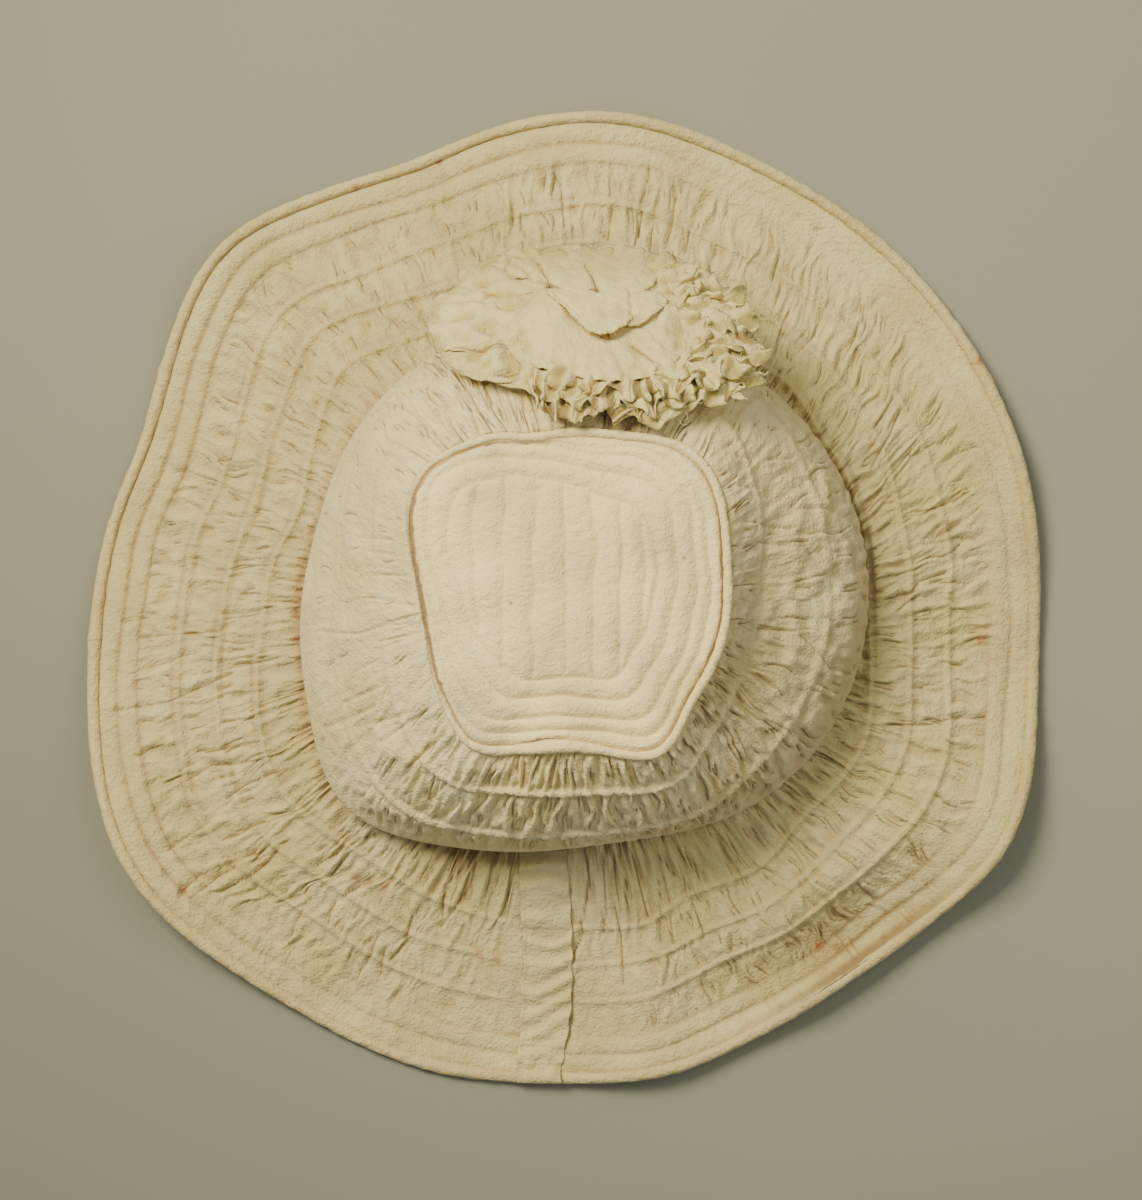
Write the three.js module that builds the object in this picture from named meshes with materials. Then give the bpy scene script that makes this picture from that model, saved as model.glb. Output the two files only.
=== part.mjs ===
// A soft cotton sun hat: a wide corded and gathered brim, a gathered crown side, a quilted tip edged with
// piping, and a rosette of cut cotton on the front. Millimetres, +Z up, resting on its brim.
// Azimuths are degrees around the crown: 0 is +X and 90 is the front, where the rosette is sewn.
import * as THREE from "three";

// Cloth and construction.
const CLOTH = 2; // corded double cotton of the brim, crown side and tip
const GAP = 0.3; // clearance between pieces that are sewn to each other
const CROWN_X = 4; // the crown's axis from the middle of the hat's outline
const CROWN_Y = -0.5;

// Brim. Its share runs from 0 at the foot of the crown to 1 at the edge of the cloth.
const BRIM_COLUMNS = 80;
const BRIM_REACH = 176.2; // mean radius of the hat's outline
const BRIM_HEIGHT = 17; // underside at the crown's foot, above the floor
const BRIM_HOLLOW = 1.3; // how much the brim steepens towards the crown
const BRIM_MARGIN = 0.07; // share of cloth that runs in under the crown side
const BRIM_SAG = 1.2; // how far the resting cloth is pressed flat by its own weight
const CURL_START = 0.83; // share at which a turned-up stretch of the edge begins
const CORD_RISE = 1.4;
const GATHER = 0.8; // height of the radial gathers between the cords
const ROLL = 2.1; // radius of the corded roll on the brim's edge

// One row for each flare or hollow of the brim's edge; draw is how far its cords close up towards the edge.
const EDGE_FOLDS = [
  { azimuth: 358, spread: 14, reach: -3, lift: 1, curl: 0, draw: 0 },
  { azimuth: 20, spread: 17, reach: -1.5, lift: 8, curl: 0, draw: 0 },
  { azimuth: 86, spread: 15, reach: 5.2, lift: 6, curl: 0, draw: 0 },
  { azimuth: 110, spread: 7, reach: -2.4, lift: 0, curl: 0, draw: 0 },
  { azimuth: 135, spread: 12, reach: 9.4, lift: 11, curl: 0, draw: 0 },
  { azimuth: 160, spread: 9, reach: -4, lift: 0, curl: 0, draw: 0 },
  { azimuth: 188, spread: 14, reach: 2.2, lift: 3, curl: 0, draw: 0 },
  { azimuth: 211, spread: 19, reach: 17, lift: 12, curl: 0, draw: 0 },
  { azimuth: 248, spread: 22, reach: 7, lift: 0.5, curl: 0, draw: 0.05 },
  { azimuth: 280, spread: 10, reach: 2.8, lift: 6, curl: 0, draw: 0.1 },
  { azimuth: 304, spread: 12, reach: -2, lift: 0, curl: 8, draw: 0.18 },
  { azimuth: 331, spread: 13, reach: 8, lift: 13, curl: 0, draw: 0 },
];

// One row for each cord stitched into the brim: its distance in from the cloth's edge, and half its width.
const BRIM_CORDS = [
  { inset: 61, half: 2.4 },
  { inset: 44.5, half: 2.4 },
  { inset: 29.5, half: 2.4 },
  { inset: 14.5, half: 2.4 },
  { inset: 7.5, half: 2.4 },
];

// Crown side. Its share runs from 0 at the tip's piping to 1 at the seam on the brim.
const SIDE_COLUMNS = 60;
const FOOT_REACH = 102; // mean radius of the side's lowest fold
const FOOT_RISE = 7; // height of that fold above the seam
const FOOT_TUCK = 3; // how far the seam lies in under the fold
const SIDE_FOLD = 0.88; // share at which the side turns under
const SIDE_FULLNESS = 5; // how far the side swells beyond a straight cone
const FOOT_FOLDS = [
  { azimuth: 10, spread: 45, reach: 4.8 },
  { azimuth: 165, spread: 22, reach: -4.8 },
  { azimuth: 222, spread: 17, reach: 10.5 },
  { azimuth: 278, spread: 32, reach: -13 },
];

// One row for each stretch of the side that stands fuller, or drops away before it flares.
const SIDE_FOLDS = [
  { azimuth: 90, spread: 42, fullness: 12, sway: 0 },
  { azimuth: 350, spread: 40, fullness: -4, sway: 5 },
  { azimuth: 268, spread: 30, fullness: 4, sway: 0 },
];
const SIDE_CORDS = [
  { at: 0.36, half: 0.05 },
  { at: 0.68, half: 0.05 },
];

// Crown tip and its piping.
const TIP_CELLS = 16;
const TIP_REACH = 53.5; // mean radius of the tip's seam
const TIP_HEIGHT = 80; // the tip's seam above the floor
const TIP_DOME = 3.5;
const QUILT = 1; // height of the quilted channels
const QUILT_INNER = 0.6; // share inside which the channels run straight from front to back
const PIPING = 1.9; // radius of the piping
const TIP_FOLDS = [
  { azimuth: 50, spread: 26, reach: 12.3, rise: 1 },
  { azimuth: 92, spread: 18, reach: 4.2, rise: 0 },
  { azimuth: 116, spread: 10, reach: 3.2, rise: 0 },
  { azimuth: 140, spread: 25, reach: 16.5, rise: -1 },
  { azimuth: 212, spread: 12, reach: 2.8, rise: 0 },
  { azimuth: 234, spread: 15, reach: 9.2, rise: -2 },
  { azimuth: 247, spread: 8, reach: 0, rise: -4 },
  { azimuth: 268, spread: 14, reach: -2.1, rise: 2 },
  { azimuth: 299, spread: 14, reach: 7.7, rise: 0 },
];

// Placket over the seam at the back of the brim.
const PLACKET_X = -12; // its middle, from the crown's axis
const PLACKET_HALF = 10;
const PLACKET_FROM = 99; // how far back it starts and ends
const PLACKET_TO = 173;
const PLACKET_CLOTH = 1;
const PLACKET_AZIMUTH = 264.5;
const PLACKET_CLEAR = 10; // degrees each side within which the brim's cords and gathers stop

// Rosette: tiers of gathered cotton stitched together at the heart, draped over the front of the crown.
const HEART_X = 11;
const HEART_Y = 106;
const DRAPE_TOP = 84.4; // the tiers' underside where they reach the tip's piping
const DRAPE_FROM = 60; // how far forward that is
const DRAPE_RUN = 68; // from there to the rosette's lowest edge
const DRAPE_FALL = 60; // and the drop over that run
const DRAPE_BEND = 1.9; // how much the drop steepens towards the brim
const DRAPE_SIDE = 0.0026; // how fast the tiers droop to each side
const PETAL_CLOTH = 1.4;
const PETAL_COLUMNS = 4; // columns of mesh for each petal
const PETAL_ROWS = 4;
const HEART_HOLE = 1.5;
const TIERS = [
  { name: "rosette_outer_ruffle", reach: 47, petals: 13, scallop: 0.12, ruffle: 3, open: 0 },
  { name: "rosette_petals", reach: 33, petals: 9, scallop: 0.14, ruffle: 2.2, open: 5 },
  { name: "rosette_heart", reach: 16.5, petals: 6, scallop: 0.16, ruffle: 1.2, open: 4 },
];

// How each tier's outline differs around the heart: one row for each stretch, one column for each tier.
const TIER_FOLDS = [
  { azimuth: 0, spread: 30, rosette_outer_ruffle: 13, rosette_petals: 0, rosette_heart: 0 },
  { azimuth: 90, spread: 50, rosette_outer_ruffle: -25, rosette_petals: -14, rosette_heart: -3 },
  { azimuth: 190, spread: 35, rosette_outer_ruffle: 13, rosette_petals: 1, rosette_heart: 0 },
  { azimuth: 322, spread: 22, rosette_outer_ruffle: 14, rosette_petals: 1, rosette_heart: 0 },
];

const radians = THREE.MathUtils.degToRad;
const degrees = THREE.MathUtils.radToDeg;
const { lerp } = THREE.MathUtils;

// Degrees from one azimuth to another, by the short way round.
function turn(from, to) {
  return THREE.MathUtils.euclideanModulo(to - from + 180, 360) - 180;
}

// Sum of the rounded folds in a table, each at its strongest on its own azimuth.
function folds(rows, column, azimuth) {
  let sum = 0;
  for (const row of rows) {
    sum += row[column] * Math.exp(-((turn(row.azimuth, azimuth) / row.spread) ** 2));
  }
  return sum;
}

// A point at a radius and height around the crown's axis.
function aroundCrown(azimuth, reach, height) {
  const a = radians(azimuth);
  return new THREE.Vector3(CROWN_X + reach * Math.cos(a), CROWN_Y + reach * Math.sin(a), height);
}

// How much of a cord's ridge stands at a share across the cloth, from 0 to 1.
function ridge(cords, share) {
  return Math.max(0, ...cords.map((cord) => 1 - Math.abs(share - cord.at) / cord.half));
}

// Shares across the cloth where a row of vertices is needed: each cord's feet and crest, and between cords.
function clothRows(from, to, cords) {
  const rows = [from];
  let last = Math.max(from, 0);
  for (const cord of cords) {
    const foot = cord.at - cord.half;
    if (foot - last > 2 * cord.half) rows.push((last + foot) / 2);
    if (foot - rows.at(-1) > cord.half / 2) rows.push(foot);
    rows.push(cord.at);
    rows.push(cord.at + cord.half);
    last = cord.at + cord.half;
  }
  rows.push(to);
  return rows.filter((share, i) => i === 0 || share - rows[i - 1] > 0.001);
}

// Gathers pucker the cloth up and down from column to column, most of all midway between two cords.
function gather(column, share, cords) {
  const nearest = Math.min(...cords.map((cord) => Math.abs(share - cord.at)));
  const free = THREE.MathUtils.smoothstep(nearest, 0.02, 0.09);
  const strength = 0.65 + 0.35 * Math.sin(2.4 * column);
  return (column % 2 ? -1 : 1) * strength * free;
}

// A closed ring: the section at each column is a loop of points, joined to the next column's loop.
function ring(columns, loopAt) {
  const points = [];
  const index = [];
  let count = 0;
  for (let column = 0; column < columns; column++) {
    const loop = loopAt((360 * column) / columns, column);
    count = loop.length;
    loop.forEach((point) => points.push(...point.toArray()));
  }
  for (let column = 0; column < columns; column++) {
    const here = column * count;
    const next = ((column + 1) % columns) * count;
    for (let k = 0; k < count; k++) {
      const after = (k + 1) % count;
      index.push(here + k, next + k, next + after);
      index.push(here + k, next + after, here + after);
    }
  }
  return solid(points, index);
}

// A closed panel: an upper and a lower sheet on one grid, joined round their rim.
function panel(across, along, upperAt, lowerAt) {
  const points = [];
  const index = [];
  const width = across + 1;
  const sheet = width * (along + 1);
  for (const pointAt of [upperAt, lowerAt]) {
    for (let j = 0; j <= along; j++) {
      for (let i = 0; i <= across; i++) {
        points.push(...pointAt(i / across, j / along).toArray());
      }
    }
  }
  const quad = (a, b, c, d) => index.push(a, b, c, a, c, d);
  for (let j = 0; j < along; j++) {
    for (let i = 0; i < across; i++) {
      const k = j * width + i;
      quad(k, k + 1, k + width + 1, k + width);
      quad(sheet + k, sheet + k + width, sheet + k + width + 1, sheet + k + 1);
    }
  }
  for (let i = 0; i < across; i++) {
    const far = along * width + i;
    quad(i, sheet + i, sheet + i + 1, i + 1);
    quad(far, far + 1, sheet + far + 1, sheet + far);
  }
  for (let j = 0; j < along; j++) {
    const left = j * width;
    const right = left + across;
    quad(left, left + width, sheet + left + width, sheet + left);
    quad(right, sheet + right, sheet + right + width, right + width);
  }
  return solid(points, index);
}

function solid(points, index) {
  const geometry = new THREE.BufferGeometry();
  geometry.setAttribute("position", new THREE.Float32BufferAttribute(points, 3));
  geometry.setIndex(index);
  geometry.computeVertexNormals();
  return geometry;
}

// Brim.
function footReach(azimuth) {
  return FOOT_REACH + folds(FOOT_FOLDS, "reach", azimuth);
}

function brimReach(azimuth, share) {
  const edge = BRIM_REACH + folds(EDGE_FOLDS, "reach", azimuth) - 2 * ROLL - GAP;
  return lerp(footReach(azimuth), edge, share);
}

function brimUnderside(azimuth, share) {
  const out = Math.max(share, 0);
  const fall = BRIM_HEIGHT * (1 - out) ** BRIM_HOLLOW;
  const lift = folds(EDGE_FOLDS, "lift", azimuth) * out ** 1.6;
  const turned = Math.max(0, (out - CURL_START) / (1 - CURL_START)) ** 2;
  const curl = folds(EDGE_FOLDS, "curl", azimuth) * turned;
  return Math.max(0, fall + lift + curl - BRIM_SAG * out);
}

// The brim's cords at an azimuth, as shares across its cloth.
function brimCords(azimuth) {
  const width = brimReach(azimuth, 1) - brimReach(azimuth, 0);
  const scale = (1 - folds(EDGE_FOLDS, "draw", azimuth)) / width;
  return BRIM_CORDS.map((cord) => ({ at: 1 - cord.inset * scale, half: cord.half * scale }));
}

function brimLoop(azimuth, column) {
  const cords = brimCords(azimuth);
  const upper = clothRows(-BRIM_MARGIN, 1, cords);
  const lower = [1, 0.91, 0.75, 0.4, 0, -BRIM_MARGIN];
  const away = Math.abs(turn(PLACKET_AZIMUTH, azimuth));
  const clear = THREE.MathUtils.smoothstep(away, PLACKET_CLEAR, PLACKET_CLEAR + 4);
  const loop = lower.map((share) =>
    aroundCrown(azimuth, brimReach(azimuth, share), brimUnderside(azimuth, share)),
  );
  for (const share of upper) {
    const rise = CORD_RISE * ridge(cords, share);
    const pucker = share > 0.05 && share < 0.78 ? GATHER * gather(column, share, cords) : 0;
    const height = brimUnderside(azimuth, share) + CLOTH + clear * (rise + pucker);
    loop.push(aroundCrown(azimuth, brimReach(azimuth, share), height));
  }
  return loop.reverse();
}

// A round cord's section: a hexagon with a flat foot.
function cordLoop(azimuth, reach, height, radius) {
  return [0, 60, 120, 180, 240, 300].map((angle) => {
    const a = radians(angle);
    return aroundCrown(azimuth, reach + radius * Math.cos(a), height + radius * Math.sin(a));
  });
}

function rollLoop(azimuth) {
  const foot = ROLL * Math.sin(radians(60));
  return cordLoop(azimuth, brimReach(azimuth, 1) + GAP + ROLL, brimUnderside(azimuth, 1) + foot, ROLL);
}

function placketPoint(side, along, height) {
  const x = PLACKET_X + lerp(-PLACKET_HALF, PLACKET_HALF, side);
  const y = -lerp(PLACKET_FROM, PLACKET_TO, along);
  const azimuth = degrees(Math.atan2(y, x));
  const reach = Math.hypot(x, y);
  const share = THREE.MathUtils.inverseLerp(brimReach(azimuth, 0), brimReach(azimuth, 1), reach);
  return aroundCrown(azimuth, reach, brimUnderside(azimuth, share) + CLOTH + height);
}

// Crown tip.
function tipReach(azimuth) {
  return TIP_REACH + folds(TIP_FOLDS, "reach", azimuth);
}

function tipHeight(azimuth) {
  return TIP_HEIGHT + folds(TIP_FOLDS, "rise", azimuth);
}

// A square grid drawn out to the tip's outline, so that its rings follow the seam.
function tipPoint(across, along, upper) {
  const a = 2 * across - 1;
  const b = 2 * along - 1;
  const level = Math.max(Math.abs(a), Math.abs(b));
  const azimuth = degrees(Math.atan2(b, a));
  const dome = lerp(TIP_HEIGHT + TIP_DOME, tipHeight(azimuth), level ** 2);
  const channel = level > QUILT_INNER ? (1 - level) * TIP_CELLS * 0.5 : (a + 1) * TIP_CELLS * 0.5;
  const crest = Math.abs(Math.sin((channel * Math.PI) / 2));
  const thickness = upper ? CLOTH / 2 + QUILT * crest : -CLOTH / 2;
  return aroundCrown(azimuth, level * (tipReach(azimuth) - PIPING - 2 * GAP), dome + thickness);
}

// Crown side: a line from the piping to the lowest fold, swelled out, then turned under to the seam.
function sidePoint(azimuth, share) {
  const away = 0.75 * (PIPING + 2.5 * GAP);
  const start = new THREE.Vector2(tipReach(azimuth) + away, tipHeight(azimuth) - away);
  const seam = BRIM_HEIGHT + CLOTH + GAP;
  const fold = new THREE.Vector2(footReach(azimuth), seam + FOOT_RISE);
  const along = Math.min(share / SIDE_FOLD, 1);
  const line = fold.clone().sub(start);
  const out = new THREE.Vector2(-line.y, line.x).normalize();
  const fullness = SIDE_FULLNESS + folds(SIDE_FOLDS, "fullness", azimuth);
  const sway = folds(SIDE_FOLDS, "sway", azimuth);
  const swell = fullness * Math.sin(Math.PI * along) - sway * Math.sin(2 * Math.PI * along);
  const point = start.addScaledVector(line, along).addScaledVector(out, swell);
  const under = Math.max(0, (share - SIDE_FOLD) / (1 - SIDE_FOLD));
  point.x -= FOOT_TUCK * under ** 2;
  point.y -= FOOT_RISE * under;
  return point;
}

function sideLoop(azimuth, column) {
  const step = 0.01;
  const lowest = BRIM_HEIGHT + CLOTH + GAP;
  const wall = (share, offset) => {
    const before = sidePoint(azimuth, Math.max(share - step, 0));
    const after = sidePoint(azimuth, Math.min(share + step, 1));
    const line = after.sub(before).normalize();
    const point = sidePoint(azimuth, share);
    point.x -= line.y * offset;
    point.y += line.x * offset;
    return aroundCrown(azimuth, point.x, Math.max(point.y, lowest));
  };
  const outer = clothRows(0, 1, [...SIDE_CORDS, { at: SIDE_FOLD, half: 0.06 }]).map((share) => {
    const rise = CORD_RISE * ridge(SIDE_CORDS, share);
    const pucker = share > 0.02 && share < SIDE_FOLD ? GATHER * gather(column, share, SIDE_CORDS) : 0;
    return wall(share, CLOTH / 2 + rise + pucker);
  });
  const inner = [1, SIDE_FOLD, 0.66, 0.44, 0.22, 0].map((share) => wall(share, -CLOTH / 2));
  return [...outer, ...inner].reverse();
}

// Rosette.
function drapeHeight(x, y) {
  const along = Math.max(0, (y - DRAPE_FROM) / DRAPE_RUN);
  return DRAPE_TOP - DRAPE_FALL * along ** DRAPE_BEND - DRAPE_SIDE * (x - HEART_X) ** 2;
}

// A point over the draped surface, at a height measured square to it.
function drapePoint(x, y, height) {
  const step = 0.5;
  const slopeX = (drapeHeight(x + step, y) - drapeHeight(x - step, y)) / (2 * step);
  const slopeY = (drapeHeight(x, y + step) - drapeHeight(x, y - step)) / (2 * step);
  const square = new THREE.Vector3(-slopeX, -slopeY, 1).normalize();
  return new THREE.Vector3(x, y, drapeHeight(x, y)).addScaledVector(square, height);
}

function tierLoop(tier, level, azimuth) {
  const a = radians(azimuth);
  const wave = Math.cos(tier.petals * a);
  const notch = 1 - Math.abs(Math.cos((tier.petals * a) / 2));
  const reach = (tier.reach + folds(TIER_FOLDS, tier.name, azimuth)) * (1 - tier.scallop * notch);
  const point = (share, thickness) => {
    const radius = lerp(HEART_HOLE, reach, share);
    const stack = level * (PETAL_CLOTH + GAP) + tier.open * share ** 1.5 + tier.ruffle * wave * share ** 2;
    return drapePoint(HEART_X + radius * Math.cos(a), HEART_Y + radius * Math.sin(a), stack + thickness);
  };
  const shares = Array.from({ length: PETAL_ROWS + 1 }, (_, row) => row / PETAL_ROWS);
  const lower = shares.map((share) => point(share, 0));
  const upper = shares.map((share) => point(share, PETAL_CLOTH));
  return [...lower, ...upper.reverse()];
}

// Materials.
const cotton = new THREE.MeshStandardMaterial({ color: 0xd8ccab, roughness: 0.95, metalness: 0 });
const bleached = new THREE.MeshStandardMaterial({ color: 0xe4dac0, roughness: 0.95, metalness: 0 });
const muslin = new THREE.MeshStandardMaterial({ color: 0xe2d9be, roughness: 0.95, metalness: 0 });

const hat = new THREE.Group();

function add(name, geometry, material) {
  const mesh = new THREE.Mesh(geometry, material);
  mesh.name = name;
  hat.add(mesh);
}

add("brim", ring(BRIM_COLUMNS, brimLoop), cotton);
add("brim_edge_roll", ring(BRIM_COLUMNS, rollLoop), cotton);
add(
  "back_placket",
  panel(
    2,
    16,
    (side, along) => placketPoint(1 - side, along, GAP + PLACKET_CLOTH),
    (side, along) => placketPoint(1 - side, along, GAP),
  ),
  cotton,
);
add("crown_side", ring(SIDE_COLUMNS, sideLoop), cotton);
add(
  "crown_tip",
  panel(
    TIP_CELLS,
    TIP_CELLS,
    (across, along) => tipPoint(across, along, true),
    (across, along) => tipPoint(across, along, false),
  ),
  bleached,
);
add(
  "tip_piping",
  ring(SIDE_COLUMNS, (azimuth) => cordLoop(azimuth, tipReach(azimuth), tipHeight(azimuth), PIPING)),
  bleached,
);
TIERS.forEach((tier, level) => {
  const columns = tier.petals * PETAL_COLUMNS;
  add(tier.name, ring(columns, (azimuth) => tierLoop(tier, level, azimuth)), muslin);
});

export default hat;
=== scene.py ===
"""A soft cotton sun hat lying on its brim: corded and gathered brim with a rolled edge, gathered crown side,
quilted tip with piping, and a rosette of gathered muslin on the front.

Lengths are millimetres and azimuths are degrees around the crown's axis: 0 is +X and 90 is the front, +Y.
A share goes from 0 at a piece's upper or inner seam to 1 at its other one. Colours are sRGB hex values.
"""

import bpy
import numpy as np
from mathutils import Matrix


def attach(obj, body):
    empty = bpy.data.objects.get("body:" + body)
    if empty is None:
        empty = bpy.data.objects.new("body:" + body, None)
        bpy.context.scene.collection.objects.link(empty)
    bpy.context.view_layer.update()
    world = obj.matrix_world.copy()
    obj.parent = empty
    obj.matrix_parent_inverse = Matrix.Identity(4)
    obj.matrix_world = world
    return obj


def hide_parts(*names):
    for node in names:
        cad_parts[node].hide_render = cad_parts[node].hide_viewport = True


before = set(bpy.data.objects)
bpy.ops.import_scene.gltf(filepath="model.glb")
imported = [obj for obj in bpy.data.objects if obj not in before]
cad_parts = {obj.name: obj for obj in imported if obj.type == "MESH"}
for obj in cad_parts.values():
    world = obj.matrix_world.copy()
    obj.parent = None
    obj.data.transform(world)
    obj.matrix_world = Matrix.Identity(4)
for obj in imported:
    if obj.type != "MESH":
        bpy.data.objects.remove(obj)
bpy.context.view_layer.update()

MM = 0.001


def table(columns, *rows):
    """Rows of values as dictionaries, one for each row, with the named columns."""
    return [dict(zip(columns.split(), row)) for row in rows]


# Sizes of the pieces. They are those of the part's source, apart from the places of the cords and from the
# swell and the curl at the back right, which are set closer here.
CLOTH = 2.0  # thickness of a wall
GAP = 0.3  # between pieces
CROWN_X, CROWN_Y = 4.0, -0.5  # the crown's axis
BRIM_REACH = 176.2
BRIM_HEIGHT = 17.0  # underside of the brim at the crown's foot
BRIM_HOLLOW = 1.3  # power of the brim's fall from there
BRIM_MARGIN = 0.07  # share of the brim's width that runs on under the crown
BRIM_SAG = 1.2
LIFT_POWER = 1.6  # how late in its width a wave of the brim lifts it
CURL_START = 0.9  # share where the turned-up stretch begins to curl
ROLL = 2.1  # radius of the rolled edge
# Waves of the brim's edge: reach, lift off the floor, upward curl, and how far its cords draw together.
EDGE_FOLDS = table(
    "azimuth spread reach lift curl draw",
    (358, 14, -3, 1, 0, 0),
    (20, 17, -1.5, 8, 0, 0),
    (86, 15, 5.2, 6, 0, 0),
    (110, 7, -2.4, 0, 0, 0),
    (135, 12, 9.4, 11, 0, 0),
    (160, 9, -4, 0, 0, 0),
    (188, 14, 2.2, 3, 0, 0),
    (211, 19, 17, 12, 0, 0),
    (248, 22, 7, 0.5, 0, 0.05),
    (266, 11, 0, 0, 0, 0.06),
    (280, 10, 2.8, 6, 0, 0.1),
    (304, 12, -2, 0, 8, 0.18),
    (331, 13, 8, 13, 0, 0),
)
# Rise of the brim inside its turned-up stretch, highest at one share of the width.
SWELL = 6
SWELL_SHARE, SWELL_SPREAD = 0.58, 0.15
BRIM_SWELLS = table("azimuth spread swell", (309, 22, SWELL))
BRIM_CORDS = [60.5, 44.5, 29.5, 11, 3.5]  # distance in from the cloth's edge
LONE_CORDS, EDGE_CORDS = BRIM_CORDS[:3], BRIM_CORDS[3:]
BRIM_GROOVES = [14.8, 7.3, -0.4]  # beside the two cords next to the edge
FOOT_INSET = 63.2  # of the cloth that runs on under the crown
FOOT_REACH = 102.0  # the crown side's lowest fold
FOOT_RISE = 7.0  # of that fold over the seam under it
FOOT_TUCK = 3.0  # of that seam inside the fold
SIDE_FOLD = 0.88  # share where the side turns under
SIDE_FULLNESS = 5.0
# Reach of the lowest fold; fullness of the side above it, and how far down that moves.
FOOT_FOLDS = table(
    "azimuth spread reach",
    (10, 45, 4.8),
    (165, 22, -4.8),
    (222, 17, 10.5),
    (278, 32, -13),
)
SIDE_FOLDS = table(
    "azimuth spread fullness sway",
    (90, 42, 12, 0),
    (350, 40, -4, 5),
    (268, 30, 4, 0),
)
SIDE_CORDS = [0.22, 0.56]  # shares
TIP_REACH = 53.5
TIP_HEIGHT = 80.0
TIP_DOME = 3.5
PIPING = 1.9  # radius
# Reach and rise of the seam round the tip; radius of its piping, and where the side's cloth hides it.
TIP_FOLDS = table(
    "azimuth spread reach rise",
    (50, 26, 12.3, 1),
    (92, 18, 4.2, 0),
    (116, 10, 3.2, 0),
    (140, 25, 16.5, -1),
    (212, 12, 2.8, 0),
    (234, 15, 9.2, -2),
    (247, 8, 0, -4),
    (268, 14, -2.1, 2),
    (299, 14, 7.7, 0),
)
PIPING_FOLDS = table(
    "azimuth spread radius hidden",
    (180, 44, -1.15, 1),
    (268, 20, 0.3, 0),
    (260, 11, 0.8, 0),
    (243, 4, 0.5, 0),
)
PLACKET_X, PLACKET_HALF = -12.0, 10.0  # middle line and half the width
PLACKET_FROM, PLACKET_END = 92.0, 179.5  # behind the crown's axis
PLACKET_AZIMUTH, PLACKET_CLEAR = 264.5, 10.0  # where the brim has no gathers under it
EDGE_JOIN = 184.7  # azimuth where the rolled edge's strip is joined
HEART_X, HEART_Y = 11.0, 106.0  # middle of the rosette
# Surface that the rosette lies on: its top, where its fall begins, how far that runs, and its drop, power
# and droop to the sides.
DRAPE_TOP, DRAPE_FROM, DRAPE_RUN = 84.4, 60.0, 68.0
DRAPE_FALL, DRAPE_BEND, DRAPE_SIDE = 60.0, 1.9, 0.0026
MUSLIN_WALL = 0.5
THREAD = 0.11  # radius

# How finely each piece is worked out.
BRIM_COLUMNS = 1500
SIDE_COLUMNS, SIDE_LINING_ROWS = 1280, 14
ROLL_COLUMNS, ROLL_SECTION = 900, 16
PIPING_COLUMNS, PIPING_SECTION = 700, 14
PLACKET_ACROSS, PLACKET_ALONG = 44, 200
TIP_POINTS = 200
PETAL_POINTS, WIDE_PETAL_POINTS = 40, 90
FRILL_ALONG, FRILL_ACROSS = 300, 11

# Relief of the cloth.
CORD_RISE = 1.3  # crest of a cord over the cloth
CORD_WIDTH = 0.9
QUILT = 0.75  # height of the quilted channels

# Gathers of the brim: how many creases they hold at each stretch, and how they lean, in mm aside for each
# mm out.
BRIM_GATHERS = 0.55
LEAN_FROM = 45  # inset where a leaning column keeps its own azimuth
BRIM_MIDDLE = 140  # reach at which leans and sways are turned into degrees
BRIM_GATHER_FOLDS = table(
    "azimuth spread more lean",
    (35, 34, 0.4, 0.42),
    (88, 24, 0.4, -0.05),
    (130, 22, 0.2, 0),
    (172, 24, 0.35, 0.05),
    (218, 30, 0.35, -0.14),
    (265, 26, 0.55, 0.02),
    (306, 26, 0.5, 0),
    (350, 26, 0.45, 0.15),
)
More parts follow.
